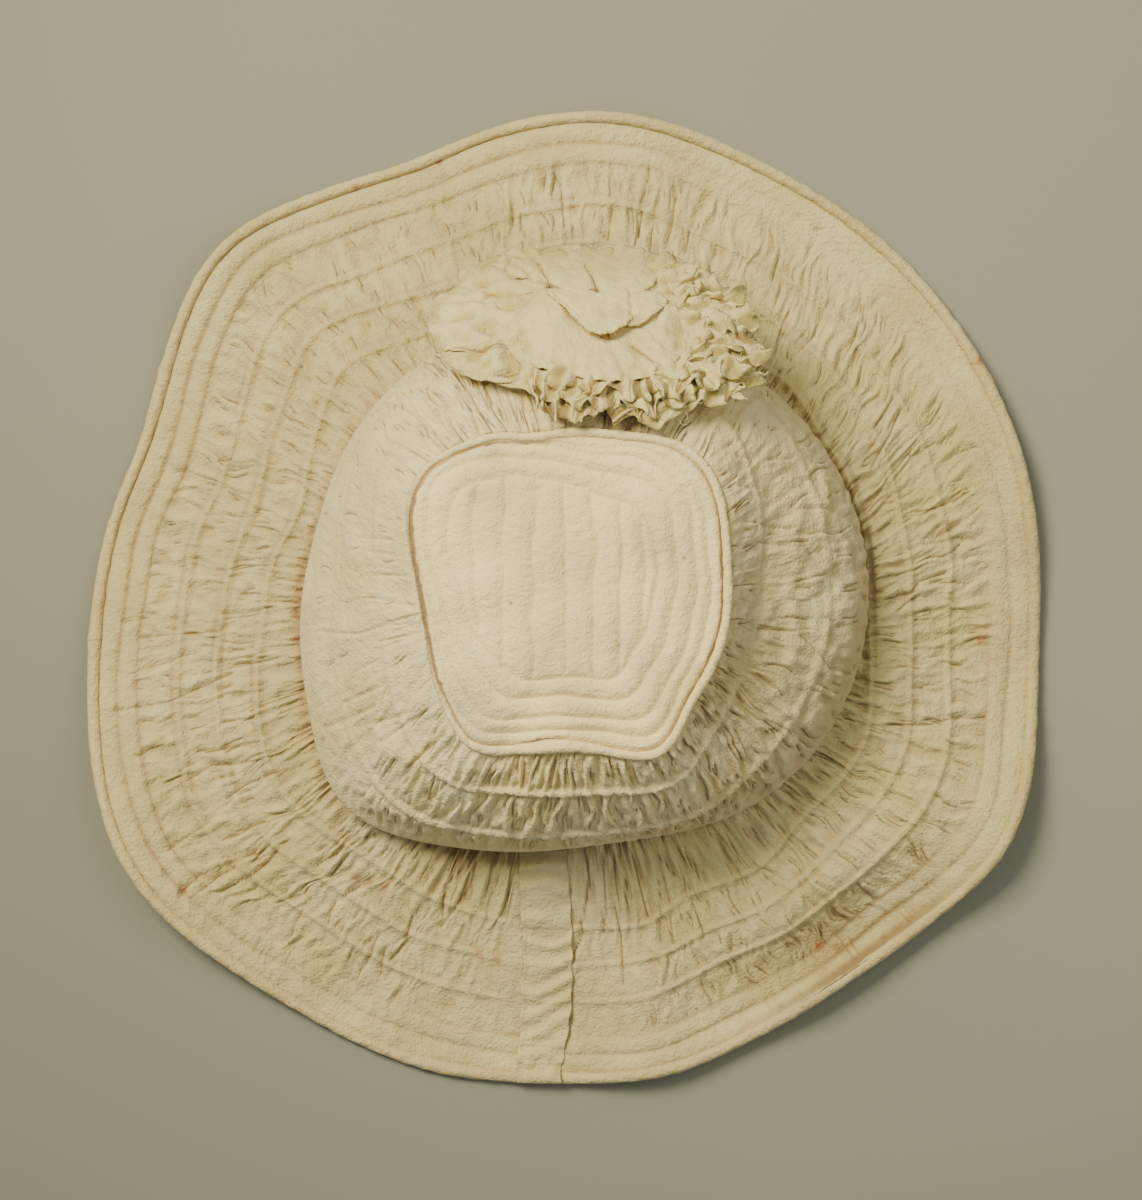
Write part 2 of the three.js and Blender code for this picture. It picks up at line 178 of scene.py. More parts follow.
# Long creases of the brim, over the plan: beside its placket, then round from the left.
BRIM_CREASES = table(
    "depth wide dark points",
    (1.3, 0.9, 1, [(8.6, -97), (9.6, -107), (6.3, -120), (7, -124), (3.4, -132)]),
    (1.3, 0.9, 1, [(14.5, -96), (15.5, -115), (14.3, -124)]),
    (1.1, 0.8, 1, [(23.1, -103), (22.4, -114)]),
    (1.2, 0.8, 1, [(18.8, -114), (21, -124), (22.1, -143)]),
    (1.2, 0.9, 1, [(25.4, -95), (28, -106), (31, -118)]),
    (1.2, 0.9, 1, [(33.3, -93), (41.8, -103)]),
    (0.9, 0.8, 0.9, [(35.2, -109), (36, -118)]),
    (0.9, 0.8, 1, [(39.2, -117), (40.5, -128)]),
    (1, 0.8, 1, [(47.7, -113), (51.7, -124)]),
    (1.2, 0.9, 1, [(-33, -99), (-34, -105), (-37, -110), (-46, -122)]),
    (1.1, 0.9, 1, [(-38, -100), (-44, -106), (-45, -117)]),
    (0.9, 0.8, 0.9, [(-19.5, -106), (-21, -111)]),
    (0.8, 0.8, 0.8, [(-27, -110), (-29, -114)]),
    (1, 0.9, 1, [(-64, -134), (-58.5, -126.5), (-56, -117)]),
    (1, 0.9, 0.9, [(-68, -140), (-67.5, -134.5), (-66.5, -130.5)]),
    (1.2, 0.9, 1, [(-77.5, -142), (-75, -137.5), (-71.5, -132), (-71, -129), (-68, -123.5)]),
    (1.2, 0.8, 1, [(-95, -131), (-93, -128.5), (-92, -125.5)]),
    (1, 0.9, 0.9, [(-103, -127), (-99.5, -123), (-96, -122.5)]),
    (1.1, 0.9, 1, [(-87.5, -120.5), (-86.5, -116), (-84.5, -112), (-75, -106)]),
    (1.2, 0.9, 1, [(-78.5, -91), (-75, -88.5), (-68, -87)]),
    (1.1, 0.9, 1, [(-86, -102.5), (-82.5, -98), (-80, -95)]),
    (1.1, 0.9, 1, [(-91.5, -98.5), (-83.5, -94)]),
    (1.1, 0.9, 1, [(-127, -108.5), (-119.5, -104.5), (-113.5, -101), (-108.5, -96.5), (-106, -93)]),
    (1, 0.9, 1, [(-134, -108), (-129, -103.5), (-122, -99.5)]),
    (1, 0.9, 1, [(-142, -110), (-140, -107), (-135.5, -103), (-127.5, -98.5)]),
    (1.1, 0.9, 1, [(-126.5, -89.5), (-119.5, -85.5), (-110.5, -82.5)]),
    (1, 0.9, 1, [(-117, -95), (-112, -94), (-108.5, -91)]),
    (0.9, 0.9, 0.9, [(-147, -93.5), (-138, -87), (-131, -82.5)]),
    (1.1, 0.9, 1, [(-125, -74), (-117, -68.5), (-109, -65), (-95.5, -61)]),
    (1, 0.9, 1, [(-139.5, -67.5), (-130.5, -61.5), (-121.5, -61), (-112.5, -59.5)]),
    (1, 0.9, 1, [(-132.5, -57), (-123.5, -55), (-112.5, -52.5)]),
    (0.9, 0.9, 1, [(-157.5, -58.5), (-153, -55.5), (-147.5, -53.5)]),
    (0.9, 0.9, 0.95, [(-166.5, -41.5), (-146, -38), (-135, -33), (-122.5, -27.5)]),
    (0.8, 0.8, 0.85, [(-140.5, -28.5), (-129, -27), (-112.5, -23.5), (-107.5, -22.5)]),
    (0.8, 0.8, 0.85, [(-157.5, -26.5), (-146, -23.5), (-141.5, -21), (-136, -20.5)]),
    (0.7, 0.8, 0.8, [(-158.5, -14), (-148.5, -13.5), (-139.5, -13), (-127, -12)]),
    (0.7, 0.8, 0.8, [(-127, -5.5), (-118, -5.5), (-108, -3)]),
    (0.8, 0.8, 0.85, [(-163.5, -8.5), (-157.5, -8), (-154.5, -7)]),
    (0.7, 0.8, 0.75, [(-134, 31), (-129, 31.5), (-116, 30)]),
    (0.9, 0.8, 0.9, [(-128.5, 51), (-123.5, 51.5)]),
    (0.8, 0.9, 0.8, [(-145.5, 47), (-140.5, 47.5)]),
    (1, 0.8, 1, [(-19, 144), (-19, 137.5)]),
    (1, 0.8, 1, [(-16, 143), (-16, 136)]),
    (0.9, 0.9, 0.9, [(-6.5, 158), (-8, 153.5)]),
    (1.2, 0.8, 1, [(-4, 158.5), (-1.5, 153.5), (-0.5, 145), (0, 137)]),
    (0.9, 0.8, 0.9, [(14, 144), (14.5, 137.5)]),
    (1.2, 0.8, 1, [(18, 144.5), (16, 132)]),
    (1.1, 0.8, 1, [(29, 143.5), (27.5, 133.5)]),
    (1, 0.8, 1, [(31.5, 160), (31.5, 156), (30.5, 153.5)]),
    (1.1, 0.8, 1, [(42, 149.5), (40.5, 144), (40.5, 139.5), (38, 131.5)]),
    (1.1, 0.8, 1, [(46.5, 136.5), (45, 127.5)]),
    (1, 0.9, 1, [(113, 48), (120.5, 61), (124.5, 70)]),
    (1.1, 0.9, 0.9, [(103, 88), (107.5, 96), (109.5, 102.5)]),
    (1, 0.9, 0.9, [(85.5, 90), (92.5, 97), (96, 107), (99.5, 111)]),
    (1.1, 0.9, 1, [(77, 118), (80, 127.5)]),
    (1, 0.9, 0.8, [(90, 128), (94, 134), (94.5, 139)]),
    (0.9, 0.8, 0.7, [(114, 108), (118, 113)]),
    (1, 0.9, 1, [(125.5, 52.5), (130.5, 53), (136.5, 57.5), (143.5, 57.5)]),
    (1, 0.9, 1, [(141, 51), (146, 54), (153, 56.5)]),
    (1, 0.9, 1, [(130, 32), (137.5, 33.5), (144.5, 36.5), (150, 39.5)]),
    (1, 0.9, 0.9, [(131.5, 22), (138.5, 23), (146, 27.5)]),
    (1.1, 0.9, 1, [(132.5, 20), (146, 22.5), (153, 22)]),
    (1, 0.9, 1, [(122, 1.5), (127.5, 1.5), (131.5, 6.5), (141.5, 9.5)]),
    (0.9, 0.8, 1, [(136, 6), (151, 6)]),
    (1, 0.9, 1, [(123, -4.5), (126.5, -1.5), (131.5, 1.5)]),
    (0.9, 0.8, 1, [(136.5, -12.5), (141, -13), (146, -12.5)]),
    (1, 0.9, 1, [(119, -46.5), (136, -46.5), (143.5, -44), (150, -44.5), (156, -44)]),
)
# Stretches where the two cords next to the brim's edge lie flat, and how much of the gathers crosses them.
EDGE_CROSSED = 0.22
FLAT_EDGES = table(
    "azimuth spread flat crossed",
    (45, 40, 0.65, 0),
    (238, 20, 0.5, 0.4),
    (185, 25, 0.15, 0.15),
    (312, 20, 0.35, 0.2),
    (0, 30, 0.2, 0.15),
)
# Brown at the crown's foot: a stain at the left, painted shade under the turned edge behind and at the right.
# Then the brim's extra yellowed tone, which is painted shade: more at the left, less at the upper right.
FOOT_STAINS_AND_SHADES = table(
    "azimuth spread left back",
    (180, 34, 1, 0),
    (256, 26, 0, 1.15),
    (8, 40, 0, 0.8),
)
BRIM_PAINTED_SHADING = table("azimuth spread more", (190, 60, 0.22), (50, 35, -0.16))

# Gathers of the crown side: how many creases, and how far their folds stand up.
SIDE_SLOPE = 78.0  # length of the side from seam to seam
SIDE_MIDDLE = 82  # reach at which turns are taken for mm
SIDE_GATHERS = 0.45
SIDE_GATHER_FOLDS = table(
    "azimuth spread more lean",
    (60, 40, 0.25, 0),
    (119, 19, 0.9, 0.03),
    (178, 30, -0.4, 0),
    (214, 20, 0.15, 0.2),
    (266, 32, 1, 0),
    (318, 22, 0.75, -0.25),
    (8, 32, 0.05, 0),
)
# Single folds of the crown side: long and wide in mm, rise out of the cloth, slant from straight round.
SIDE_DENTS = table(
    "azimuth share long wide rise slant",
    (8, 0.24, 15, 3.2, -2.2, 8),
    (344, 0.2, 16, 3, -2, -6),
    (30, 0.3, 14, 3.5, -1.8, -30),
    (14, 0.4, 13, 3.4, 1.6, 6),
    (350, 0.42, 15, 3.2, 1.5, -4),
    (4, 0.58, 10, 4, -1.5, 25),
    (338, 0.55, 11, 3.6, -1.4, -35),
    (22, 0.62, 13, 4, 1.5, 40),
    (355, 0.74, 12, 4, 1.4, -30),
    (324, 0.82, 8, 2.4, 2, 20),
    (222, 0.3, 13, 4, 1.7, -35),
    (214, 0.5, 12, 3.6, -1.8, 30),
    (232, 0.62, 12, 4, 1.6, -20),
    (205, 0.72, 14, 4.4, 1.4, -28),
    (192, 0.38, 16, 4.5, 1.2, 24),
    (176, 0.56, 18, 4, -1.3, 10),
    (158, 0.45, 16, 4.5, 1.2, -16),
    (243, 0.08, 7, 3.2, 2.2, 0),
)
# Long creases of the crown side: azimuth and share of the way down.
CREASE_TURN = 1.4  # mm that a degree counts for in their lengths
SIDE_CREASES = table(
    "depth wide dark points",
    (0.9, 0.7, 0.8, [(42, 0.18), (38, 0.26)]),
    (0.9, 0.7, 0.8, [(35, 0.12), (31, 0.25)]),
    (1, 0.7, 0.8, [(25, 0.12), (18, 0.39)]),
    (1, 0.7, 0.7, [(18, 0.18), (13, 0.42)]),
    (1, 0.7, 0.7, [(36, 0.36), (33, 0.52)]),
    (0.8, 0.7, 0.6, [(29, 0.47), (27, 0.57)]),
    (0.9, 0.7, 0.7, [(22, 0.48), (19, 0.66)]),
    (0.9, 0.7, 0.7, [(17, 0.42), (14, 0.65)]),
    (0.9, 0.7, 0.6, [(14, 0.44), (10, 0.49)]),
    (1, 0.8, 0.7, [(6, 0.54), (3, 0.61)]),
    (1, 0.8, 0.7, [(-4, 0.55), (-6, 0.65)]),
    (1, 0.7, 0.8, [(-8, 0.08), (-10, 0.21)]),
    (1, 0.7, 0.8, [(-9, 0.24), (-8, 0.42)]),
    (1.2, 0.8, 0.8, [(-9, 0.45), (-15, 0.63), (-15, 0.84)]),
    (1.1, 0.8, 0.9, [(-24, 0.1), (-25, 0.22)]),
    (1, 0.7, 0.8, [(-22, 0.3), (-24, 0.41)]),
    (1, 0.7, 0.8, [(-28, 0.28), (-30, 0.41)]),
    (1.1, 0.7, 0.8, [(-32, 0.43), (-31, 0.64)]),
    (1, 0.8, 0.7, [(108, 0.25), (108, 0.05)]),
    (1.1, 0.8, 0.8, [(110.5, 0.3), (110.5, 0.05)]),
    (1.1, 0.9, 0.8, [(113, 0.4), (113, 0.15)]),
    (1.2, 0.9, 0.8, [(114.8, 0.47), (114.4, 0.1)]),
    (1, 0.8, 0.8, [(117, 0.35), (117, 0.08)]),
    (1.1, 0.9, 0.8, [(119.5, 0.7), (119, 0.42)]),
    (1.2, 0.9, 0.9, [(121.5, 0.72), (120.4, 0.4)]),
    (0.9, 0.8, 0.7, [(124, 0.3), (123.5, 0.1)]),
    (0.9, 0.8, 0.7, [(127, 0.35), (127, 0.12)]),
    (0.6, 0.7, 0.6, [(164, 0.37), (162, 0.11)]),
    (0.5, 0.7, 0.5, [(167, 0.29), (166, 0.12)]),
    (0.6, 0.7, 0.6, [(173, 0.28), (172, 0.04)]),
    (0.6, 0.7, 0.5, [(179, 0.28), (182, 0.03)]),
    (0.8, 0.7, 0.65, [(187, 0.68), (189, 0.35), (186, 0.07)]),
    (0.6, 0.6, 0.6, [(188, 0.24), (188, 0.07)]),
    (0.6, 0.6, 0.7, [(192, 0.26), (192, 0.09)]),
    (0.6, 0.6, 0.7, [(194, 0.22), (193, 0.1)]),
    (0.7, 0.8, 0.6, [(198, 0.42), (197, 0.28)]),
    (0.9, 0.8, 0.7, [(204, 0.55), (204, 0.27)]),
    (1, 0.9, 0.7, [(207, 0.75), (208, 0.35)]),
    (0.9, 0.8, 0.7, [(210, 0.5), (214, 0.19)]),
    (0.9, 0.8, 0.7, [(216, 0.39), (217, 0.07)]),
    (1, 0.8, 0.8, [(225, 0.32), (226, 0.05)]),
    (1, 0.8, 0.8, [(234, 0.42), (235, 0.24)]),
)
# Looks of the crown side round the crown: full cords, uneven turned edge, crumpled cloth, fainter crease
# lines, painted shadow under the rosette, and painted shade at the right with less yellowed cloth at the
# back.
SIDE_CORDS_FULL = table("azimuth spread more", (180, 45, -0.75), (268, 32, 0.5), (15, 30, -0.5))
SIDE_TURNED = table("azimuth spread more", (345, 55, 1))
SIDE_CRUMPLED = table("azimuth spread more", (348, 52, 1), (215, 20, 0.5))
SIDE_FAINT = table("azimuth spread more", (268, 30, 0.2))
SIDE_SHADE = table("azimuth spread more", (74, 17, 1))
SIDE_PAINTED_SHADING = table("azimuth spread more", (350, 42, 0.45), (262, 34, -0.3))

# Channels of the quilted tip: straight ones by their distance right of the crown's axis, rings by their
# level and how much further out they lie at the front left. They are deepest at the back; the seam is dark
# there.
TIP_LINES = [-35.5, -25, -14.8, -4.2, 6.7, 16.5, 24.3]
TIP_RINGS = table("level left", (0.52, 0.28), (0.66, 0.26), (0.8, 0.2), (0.9, 0.1))
TIP_LEFT = table("azimuth spread more", (135, 75, 1))
TIP_DEEP = table("azimuth spread more", (270, 34, 1))
TIP_SEAM_DARK = table("azimuth spread more", (256, 10, 1))

# Marks on the cloth, over the plan of the hat.
RUST_SPOTS = table(
    "x y size strength",
    (154.7, 88.2, 2.2, 0.8),
    (154.7, -15.4, 1.8, 0.7),
    (-77.3, -103, 2, 0.7),
    (-71.8, -104.9, 1.6, 0.6),
    (-66.2, -106.7, 1.8, 0.6),
    (-141, -107.9, 1.8, 0.7),
    (-38.5, -98.6, 1.6, 0.6),
    (-31.8, -131.2, 1.5, 0.6),
    (-24.8, -133.8, 1.4, 0.6),
    (95.1, -129.3, 2, 0.8),
    (101.4, -129.7, 1.6, 0.7),
    (-46.6, 162.2, 1.2, 0.8),
    (-77.3, 153, 1.2, 0.7),
    (-18.5, -1.6, 0.6, 1),
    (19.5, -16.4, 0.9, 0.6),
    (18.8, -12.2, 0.8, 0.5),
    (42.4, 14.2, 0.9, 0.6),
    (44.5, 4.7, 0.9, 0.5),
    (-22, -23.4, 0.9, 0.6),
    (-9, 39.2, 0.9, 0.5),
    (-24.5, 51.5, 3.5, 0.25),
    (-31.2, 36.4, 3, 0.2),
    (48.4, -25.9, 3.5, 0.3),
)
# Petals of the rosette: height over the drape, its rise to the back and its swell, pleats and their depth,
# yellowed tone with painted shade, and the outline over the plan.
OUTER_PETALS = table(
    "lift back swell pleats pleat age outline",
    (0.9, 0, 0.5, 46, 0.5, 0.35, [(-47, 98), (-46, 107), (-38, 114), (-25, 121), (-8, 126), (10, 127),
        (30, 126), (46, 121), (57, 113), (64, 102), (67, 89), (66, 79), (60, 72), (48, 71), (31, 67),
        (19, 67), (9, 68), (3, 66), (-4, 68), (-12, 72), (-25, 76), (-38, 81), (-45, 89)]),
    (0.7, 0.9, 0.7, 7, 0.3, 0.2, [(-6.5, 111), (-15.5, 108), (-26.5, 109), (-38, 112), (-36, 120), (-23, 126),
        (-12, 122)]),
    (0.9, 0.9, 0.9, 9, 0.4, 0.2, [(27.5, 108), (31, 120), (38, 126), (47, 121), (52, 111), (41.5, 105)]),
    (0.9, 0.5, 1.8, 4, 0.4, 0.15, [(-47, 103.5), (-42, 108.5), (-30.5, 110), (-22, 107), (-33, 103.5),
        (-44, 100.5)]),
    (0.8, 0.3, 2.6, 5, 0.5, 0.15, [(-41, 84.5), (-36, 86.5), (-24, 87.5), (-18, 84.5), (-15.5, 79),
        (-20, 75.5), (-29, 76.5), (-37, 80)]),
    (1.1, 0.5, 2.4, 7, 0.5, 0.1, [(-48, 97), (-43, 103.5), (-33, 106), (-20, 105), (-11, 100), (-13, 93),
        (-20.5, 88.5), (-29, 87.5), (-38, 86.5), (-45, 89.5)]),
)
MIDDLE_PETALS = table(
    "lift back swell pleats pleat age outline",
    (0.7, 1.6, 0.7, 4, 0.3, 0.25, [(-5.5, 112), (-12, 113.5), (-20, 117), (-22, 126), (-11.5, 129),
        (-7.5, 124)]),
    (1.2, 2.2, 0.9, 4, 0.3, 0.2, [(-5, 112.5), (-7.8, 121), (-7, 128), (1, 130), (8, 128.5), (9.6, 120),
        (11.5, 109.5), (3.5, 106)]),
    (1.2, 2.2, 0.9, 5, 0.3, 0.2, [(12, 109.5), (10.4, 120), (12, 128.5), (21, 130), (31.5, 126), (34, 115),
        (26, 106)]),
    (2.6, 0.7, 0.8, 6, 0.35, 0.05, [(-3, 109), (7, 97), (13, 90), (9, 82), (-1, 79), (-10, 80.5), (-15, 88),
        (-15.5, 98), (-11, 107)]),
    (2.8, 1, 0.8, 6, 0.4, 0.05, [(25, 99), (33, 105), (42, 106.5), (46.5, 98), (46, 88), (41, 79.5), (32, 77),
        (23.5, 84), (16, 92)]),
    (4, 1.3, 0.7, 4, 0.3, 0.05, [(8, 91), (22, 88), (31, 80.5), (31, 76.5), (21, 74.5), (11.5, 74.5), (3, 77),
        (-3.5, 81), (0, 88)]),
)
HEART_PETALS = table(
    "lift back swell pleats pleat age outline",
    (4.2, 1.9, 0.7, 3, 0.25, 0.05, [(22, 106.5), (28, 108.5), (34, 107.5), (36.5, 103.5), (32.5, 98),
        (26.5, 93.5), (21, 93.5), (18, 100)]),
    (5, 2.6, 0.9, 3, 0.2, 0, [(-6, 107.5), (-1, 109.5), (6, 110), (13, 110), (20, 109.5), (24, 106),
        (25, 100), (23.5, 94.5), (19.5, 90.5), (13.5, 88.5), (8, 90.5), (4.5, 95), (0, 100.5)]),
)
# Ruffles of the rosette: heights of the gathered line and the free edge, the free edge's waves, how far they
# swing and stand up, and both lines over the plan.
OUTER_FRILLS = table(
    "low high waves swing tall gathered free",
    (1.4, 2.2, 10, 1.1, 1.3, [(41, 115), (49, 106), (52, 95), (53, 84), (51, 74)], [(50, 119), (60.5, 111),
        (66, 101), (69.5, 89), (69, 79), (62, 69.5)]),
    (1.6, 2.8, 13, 1.1, 1.3, [(-13, 78), (-1, 72), (9.5, 70.5), (20, 69.5), (32, 70), (48, 75), (58, 79)],
        [(-10, 69.5), (-3, 63.5), (3, 61), (9.5, 63.5), (14, 65.5), (19, 62.5), (31, 61.5), (50.5, 67.5),
        (63, 71)]),
    (2.8, 3.8, 8, 1.2, 1.4, [(37, 111), (42.5, 101), (43.5, 90), (42, 79.5)], [(46, 114), (54.5, 105),
        (58.5, 94), (59, 83), (52, 73)]),
    (2.8, 4.4, 12, 1.2, 1.4, [(-10, 80), (4, 76), (13, 74.5), (26.5, 74.5), (35.5, 77), (46, 81)], [(-10, 72),
        (-2.5, 68), (7.5, 66.5), (19, 67), (30.5, 65.5), (45.5, 69.5), (54, 74)]),
    (3.8, 5.2, 5, 1.2, 1.4, [(30, 77), (40, 80), (50, 82), (57, 85)], [(33, 69.5), (42, 70.5), (53, 73),
        (62.5, 78)]),
)
MIDDLE_FRILLS = table(
    "low high waves swing tall gathered free",
    (3.8, 5.4, 8, 1.2, 1.4, [(-5, 81), (7.5, 79), (19.5, 77.5), (30, 79), (40, 84)], [(-6, 75), (4, 71.5),
        (14.5, 70.5), (26.5, 70), (37.5, 72), (46, 78)]),
    (3.2, 4.4, 5, 1.1, 1.3, [(38, 104), (41.5, 96), (42, 88), (38.5, 80.5)], [(45, 105), (50.5, 97),
        (51.5, 88), (46.5, 78.5)]),
)
# Sunk creases of the rosette, over the plan; their dark lines are painted shade at folds and overlapped
# edges.
ROSETTE_CREASES = table(
    "depth wide dark points",
    (2.2, 0.9, 0.9, [(8.6, 119.7), (11.9, 110.4)]),
    (1.8, 0.9, 0.9, [(-9.6, 122.3), (-5.3, 113.3)]),
    (2.2, 1.5, 0.9, [(-6.3, 113), (-1.5, 110.5)]),
    (2.4, 1.5, 0.9, [(11.9, 110.4), (12.6, 108)]),
    (0.9, 0.6, 0.55, [(-3, 106.5), (6.5, 95.5)]),
    (1.2, 0.8, 0.6, [(23.6, 108), (24, 97.5)]),
    (2.2, 1.2, 1, [(24.1, 88.6), (31.6, 81.8)]),
    (1.4, 0.8, 0.95, [(-38.6, 87.4), (-29, 87.8), (-21, 89.4)]),
    (2, 1.3, 0.85, [(-20.5, 89.5), (-18, 85.5), (-15.2, 83), (-16, 79.5), (-23, 77.5)]),
    (1.2, 0.9, 0.5, [(-13.5, 117.5), (-10.5, 113)]),
    (1.7, 1.4, 0.5, [(-46, 106.2), (-31, 105.6)]),
    (0.9, 1.5, 0.2, [(-42, 98.5), (-27, 99.5)]),
    (0.7, 1.4, 0.3, [(-2, 121), (2.5, 115)]),
    (0.6, 1.8, 0.1, [(-14, 96), (-4, 99)]),
    (0.7, 1.5, 0.2, [(-13, 86), (-6, 92)]),
    (0.6, 1.7, 0.15, [(2, 78.5), (8, 86)]),
    (0.7, 1.7, 0.15, [(44, 93), (33, 95)]),
    (0.7, 1.3, 0.2, [(40, 84), (32, 89.5)]),
    (0.6, 1.6, 0.1, [(21, 78), (17, 86)]),
    (0.9, 1.3, 0.4, [(44, 117), (34, 111)]),
)
# Colours.
COTTON, COTTON_PALE = "cab46a", "d8c682"
CROWN_COTTON, CROWN_PALE = "dfc77c", "ecd894"
BINDING = "cfb878"
TIP_COTTON, TIP_PALE = "ffe48e", "fde79c"
# Yellowed colours: real ageing, and painted shade in hollows, on shaded slopes and at the crown's right.
MUSLIN, MUSLIN_PALE, MUSLIN_YELLOWED_AND_SHADE = "e6cf84", "eeda8c", "b0963c"
YELLOWED_AND_SHADE = "b59a5f"
# Brown of dirt, stitches and seam lines, also painted shade in creases, grooves, crevices and under edges.
MARK_AND_SHADE_BROWN = "6b4a1e"
RUST = "9a4f1c"
FLOOR_GREY, FLOOR_FIBRE = "969174", "8c886e"
# Painted shade of the floor: towards the back left and in the corners.
FLOOR_PAINTED_SHADE, FLOOR_PAINTED_CORNER_SHADE = "837f64", "625d49"
LAMP_WHITE, ROOM_BLUE = "fffbf2", "c8d8f6"


def blend(low, high, x):
    """Rises smoothly from 0 to 1 while x goes from low to high."""
    t = np.clip((x - low) / (high - low), 0, 1)
    return t * t * (3 - 2 * t)


def bell(distance, wide):
    """A rounded hump: exp(-(distance / wide) squared)."""
    return np.exp(-((distance / wide) ** 2))


def turn_from(azimuth, place):
    """Degrees from a place to an azimuth, the short way round."""
    return (azimuth - place + 180) % 360 - 180


def folds(rows, column, azimuth):
    """Sum of a table's rounded folds: each row's value times the bell of the turn over its spread."""
    total = np.zeros(np.shape(azimuth))
    for row in rows:
        total += row[column] * bell(turn_from(azimuth, row["azimuth"]), row["spread"])
    return total


def crumple(x, y, pitch, seed, count=20):
    """Seeded sum of plane waves, each about one pitch long and running any way over x and y."""
    rng = np.random.default_rng(seed)
    total = np.zeros(np.broadcast(x, y).shape)
    ways, lengths = rng.uniform(0, 2 * np.pi, count), pitch * rng.uniform(0.7, 1.6, count)
    for way, length, phase in zip(ways, lengths, rng.uniform(0, 2 * np.pi, count)):
        total += np.sin(2 * np.pi * (x * np.cos(way) + y * np.sin(way)) / length + phase)
    return total / np.sqrt(count / 2)


def ripple(azimuth, place, waves, long, seed, count=26):
    """Seeded sum of waves that close round the crown, so many to a turn, each changing over a length."""
    rng = np.random.default_rng(seed)
    total = np.zeros(np.broadcast(azimuth, place).shape)
    turns = rng.integers(int(0.55 * waves), int(1.5 * waves), count)
    for turn, rate, phase in zip(turns, rng.normal(0, 1 / long, count), rng.uniform(0, 2 * np.pi, count)):
        total += np.sin(turn * np.radians(azimuth) + 2 * np.pi * rate * place + phase)
    return total / np.sqrt(count / 2)


def gathers(azimuth, place, reach, waves, long, amount, seed):
    """Soft folds of gathered cloth, the sharp creases in them and the strength of each crease.

    Creases are the lines where the waves pass through zero; the distance from one is the waves' height over
    their slope. A slower ripple breaks them into stretches, and the amount says how many of these show. Those
    that turn aside fade.
    """
    wave = ripple(azimuth, place, waves=waves, long=long, seed=seed)
    across = np.radians(360 / wave.shape[1]) * reach
    slope = (np.roll(wave, -1, axis=1) - np.roll(wave, 1, axis=1)) / (2 * across)
    fall = np.gradient(wave, axis=0) / np.gradient(place, axis=0)
    away = np.abs(wave) / (np.hypot(slope, fall) + 0.05)
    shown = ripple(azimuth, place, waves=waves / 2.2, long=0.8 * long, seed=seed + 1)
    straight = slope**2 / (slope**2 + fall**2 + 1e-6)
    strength = blend(1.15 - 1.1 * amount, 2.0 - 1.1 * amount, shown) * blend(0.4, 0.8, straight)
    return wave, away, strength


def sunk_creases(rows, x, y):
    """Depth and dark line of creases, the line being dirt and painted shade: each fades with the distance
    from a path of straight stretches.
    """
    depth, line = np.zeros(x.shape), np.zeros(x.shape)
    for row in rows:
        away = np.full(x.shape, np.inf)
        for (x0, y0), (x1, y1) in zip(row["points"], row["points"][1:]):
            dx, dy = x1 - x0, y1 - y0
            t = np.clip(((x - x0) * dx + (y - y0) * dy) / (dx * dx + dy * dy), 0, 1)
            away = np.minimum(away, np.hypot(x - x0 - t * dx, y - y0 - t * dy))
        depth = np.maximum(depth, row["depth"] * bell(away, row["wide"]))
        line = np.maximum(line, row["dark"] * bell(away, 0.6 * row["wide"]))
    return depth, line


def spots(x, y):
    """Strength of the rust marks at each place: the sum of round spots."""
    total = np.zeros(x.shape)
    for spot in RUST_SPOTS:
        total += spot["strength"] * bell(np.hypot(x - spot["x"], y - spot["y"]), spot["size"])
    return np.clip(total, 0, 1)


def around_crown(azimuth, reach, height):
    """Points at a reach and height around the crown's axis."""
    a = np.radians(azimuth)
    x, y = CROWN_X + reach * np.cos(a), CROWN_Y + reach * np.sin(a)
    return np.stack(np.broadcast_arrays(x, y, height), axis=-1)


def put_mesh(name, points, faces, material, **attributes):
    """Makes a smooth mesh at the origin from points in mm, arrays of like faces and point attributes."""
    mesh = bpy.data.meshes.new(name)
    points = np.asarray(points, dtype=np.float32).reshape(-1, 3) * np.float32(MM)
    loops = np.concatenate([face.ravel() for face in faces]).astype(np.int32)
    sides = np.concatenate([np.full(len(face), face.shape[1]) for face in faces]).astype(np.int32)
    mesh.vertices.add(len(points))
    mesh.vertices.foreach_set("co", points.ravel())
    mesh.loops.add(len(loops))
    mesh.loops.foreach_set("vertex_index", loops)
    mesh.polygons.add(len(sides))
    mesh.polygons.foreach_set("loop_start", np.concatenate([[0], np.cumsum(sides)[:-1]]).astype(np.int32))
    mesh.polygons.foreach_set("loop_total", sides)
    mesh.polygons.foreach_set("use_smooth", np.ones(len(sides), dtype=bool))
    for key in ("crease", "age", "stain"):
        values = np.zeros(len(points), dtype=np.float32)
        values[:] = attributes.get(key, 0)
        mesh.attributes.new(key, "FLOAT", "POINT").data.foreach_set("value", values)
    mesh.update()
    mesh.validate()
    mesh.materials.append(material)
    piece = bpy.data.objects.new(name, mesh)
    bpy.context.collection.objects.link(piece)
    return piece


def ring_faces(rows, columns, first=0):
    """Quads of a grid that closes round its columns, facing up where its rows run outwards."""
    r, c = np.mgrid[0 : rows - 1, 0:columns]
    after = (c + 1) % columns
    corners = [r * columns + c, (r + 1) * columns + c, (r + 1) * columns + after, r * columns + after]
    return first + np.stack(corners, axis=-1).reshape(-1, 4)


